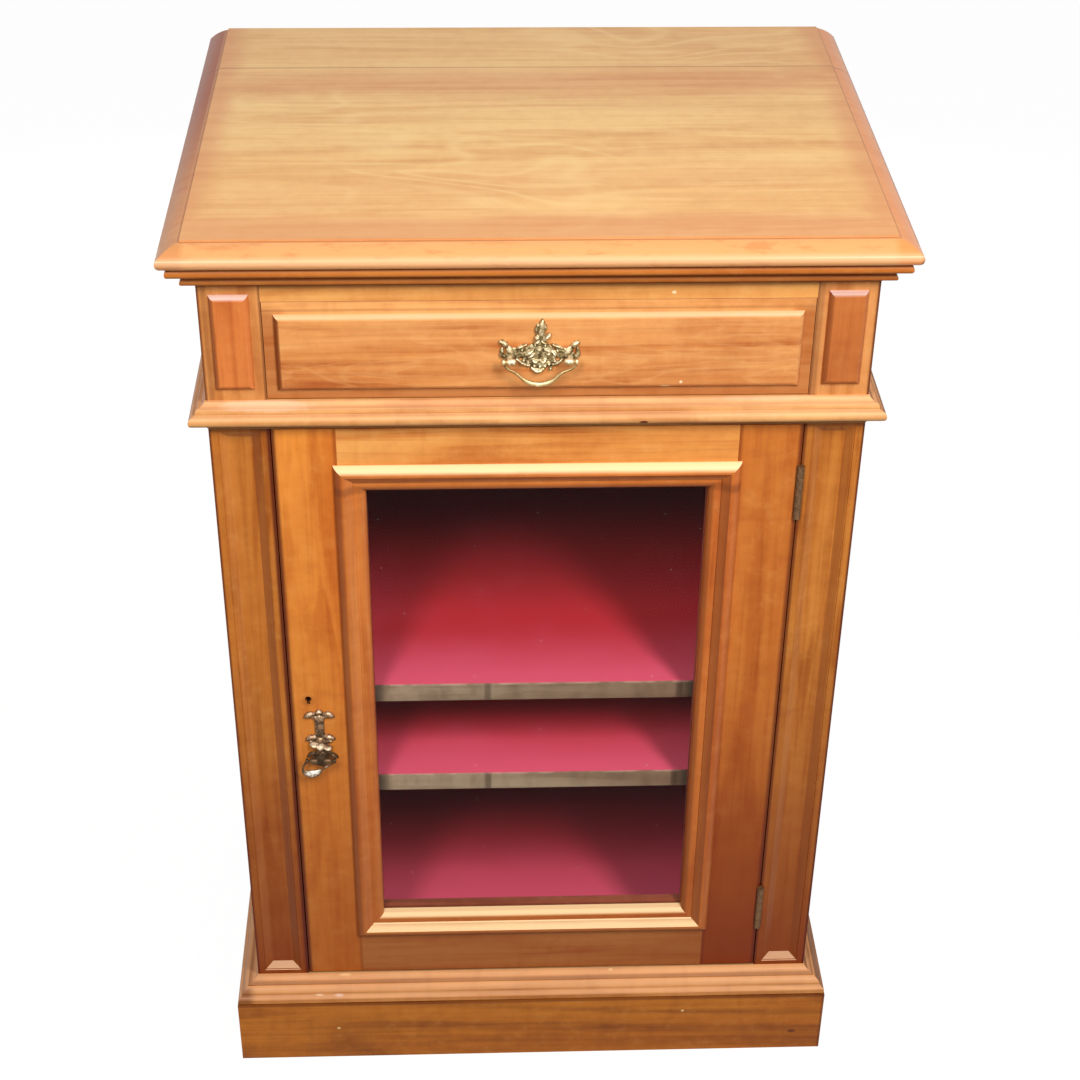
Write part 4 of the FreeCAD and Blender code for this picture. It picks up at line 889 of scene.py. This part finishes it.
# Painted shade in a band across the domed body.
pull_brass = brass("pull_brass", colour(220, 198, 166), colour(144, 108, 76),
                   colour(70, 50, 28), 0.38, pull_face, 0.0068, 0.35, (0.3855, 0.0142, 0.85))
casting("door_plate_cast", relief(pull_x, pull_z, pull_face, pull_rows), pull_brass, "door",
        ["door_handle_plate"], plate_voxel)
door_wood_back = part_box("door_stile_left")[1][1]
casting("door_posts_cast",
        post_forms(pull_x, pull_z, pull_post_half, pull_pivot, pull_collar, door_wood_back),
        pull_brass, "door", ["door_handle_posts"], post_voxel)
crescent_line = [
    (-12.9, 0.0), (-15.2, -3.6), (-17.0, -7.0), (-17.8, -10.4), (-15.4, -13.6), (-11.6, -15.4),
    (-7.6, -15.6), (-3.2, -13.8), (0.6, -10.8), (4.4, -7.8), (8.4, -5.4), (11.4, -3.2),
    (12.9, 0.0)]
# Painted shade in a band at the pins.
crescent_brass = brass("crescent_brass", colour(255, 250, 236), colour(120, 88, 56),
                       colour(74, 52, 28), 0.34, -0.2226, 0.0018, 0.3, (pull_z, 0.0044, 1.0))
casting("door_pull_cast",
        bail_forms(pull_x, pull_pivot, pull_z, pull_eye_half, crescent_line, 0.0011, 0.0044,
                   0.0022, slice(3, -4)),
        crescent_brass, "door_pull", ["door_pull"], bail_voxel)


# Studio.
# A pale floor fades into a white surround. Two soft lamps stand above and in front, a weak one is
# low behind, and the camera is at standing height before the cabinet.
floor_mesh = bpy.data.meshes.new("floor")
floor_size = 12.0
corners = [(-floor_size, -floor_size, 0.0), (floor_size, -floor_size, 0.0),
           (floor_size, floor_size, 0.0), (-floor_size, floor_size, 0.0)]
floor_mesh.from_pydata(corners, [], [(0, 1, 2, 3)])
floor = bpy.data.objects.new("floor", floor_mesh)
bpy.context.scene.collection.objects.link(floor)
paper, paper_shader, paper_shade = new_material("paper")
floor_mesh.materials.append(paper)
feed(paper_shader, "Roughness", 0.9)


def seen_white(shade):
    """1 for rays that show the surround itself: from the camera, off a gloss or through glass."""
    camera_ray = shade.node("ShaderNodeLightPath", out="Is Camera Ray")
    glossy_ray = shade.node("ShaderNodeLightPath", out="Is Glossy Ray")
    through_ray = shade.node("ShaderNodeLightPath", out="Is Transmission Ray")
    return camera_ray.maths("MAXIMUM", glossy_ray).maths("MAXIMUM", through_ray)


seen = seen_white(paper_shade)
pure_white = (1.0, 1.0, 1.0, 1.0)
feed(paper_shader, "Base Color", seen.mix((0.3, 0.3, 0.3, 1.0), (0.85, 0.85, 0.85, 1.0)))
glow = paper_shade.node("ShaderNodeEmission", None, {"Color": pure_white, "Strength": 1.06})
lit = Shade(paper.node_tree, paper_shader.outputs[0])
both = paper_shade.node("ShaderNodeMixShader", None, {0: seen * 0.9, 1: lit, 2: glow})
paper.node_tree.links.new(both.socket, paper.node_tree.nodes["Material Output"].inputs["Surface"])

world = bpy.data.worlds.new("surround")
bpy.context.scene.world = world
world.use_nodes = True
sky = world.node_tree.nodes["Background"]
sky.inputs["Color"].default_value = pure_white
strength = seen_white(Shade(world.node_tree)) * 0.76 + 0.24
world.node_tree.links.new(strength.socket, sky.inputs["Strength"])


def soft_lamp(name, place, target, width, height, watts):
    """A rectangular lamp aimed at a point."""
    data = bpy.data.lights.new(name, "AREA")
    data.shape = "RECTANGLE"
    data.size = width
    data.size_y = height
    data.energy = watts
    lamp = bpy.data.objects.new(name, data)
    bpy.context.scene.collection.objects.link(lamp)
    aim = np.array(target) - np.array(place)
    lamp.location = place
    lamp.rotation_euler = Vector(aim).to_track_quat("-Z", "Y").to_euler()


door_middle = (0.0, -0.2, 0.57)
soft_lamp("right_lamp", (0.75, -1.45, 2.08), door_middle, 0.3, 0.8, 32.0)
soft_lamp("left_lamp", (-0.55, -1.55, 2.08), door_middle, 0.3, 0.8, 21.5)
soft_lamp("rear_lamp", (0.0, 2.1, 0.6), (0.0, 0.24, 0.45), 1.2, 0.5, 12.0)

camera_data = bpy.data.cameras.new("camera")
camera = bpy.data.objects.new("camera", camera_data)
bpy.context.scene.collection.objects.link(camera)
bpy.context.scene.camera = camera
yaw, pitch, roll = np.radians([2.5094, -34.4395, 0.7428])
forward = np.array([math.sin(yaw) * math.cos(pitch), math.cos(yaw) * math.cos(pitch),
                    math.sin(pitch)])
level = np.array([math.cos(yaw), -math.sin(yaw), 0.0])
rise = np.cross(level, forward)
right = level * math.cos(roll) + rise * math.sin(roll)
up = rise * math.cos(roll) - level * math.sin(roll)
spot = (-0.06398, -1.72577, 1.67047)
rows = [[right[i], up[i], -forward[i], spot[i]] for i in range(3)]
camera.matrix_world = Matrix(rows + [[0, 0, 0, 1]])
sensor, focal_pixels, picture_pixels = 36.0, 2095.25, 1080.0
camera_data.sensor_width = sensor
camera_data.lens = sensor * focal_pixels / picture_pixels
camera_data.clip_end = 100.0

bpy.context.scene.view_settings.view_transform = "Standard"
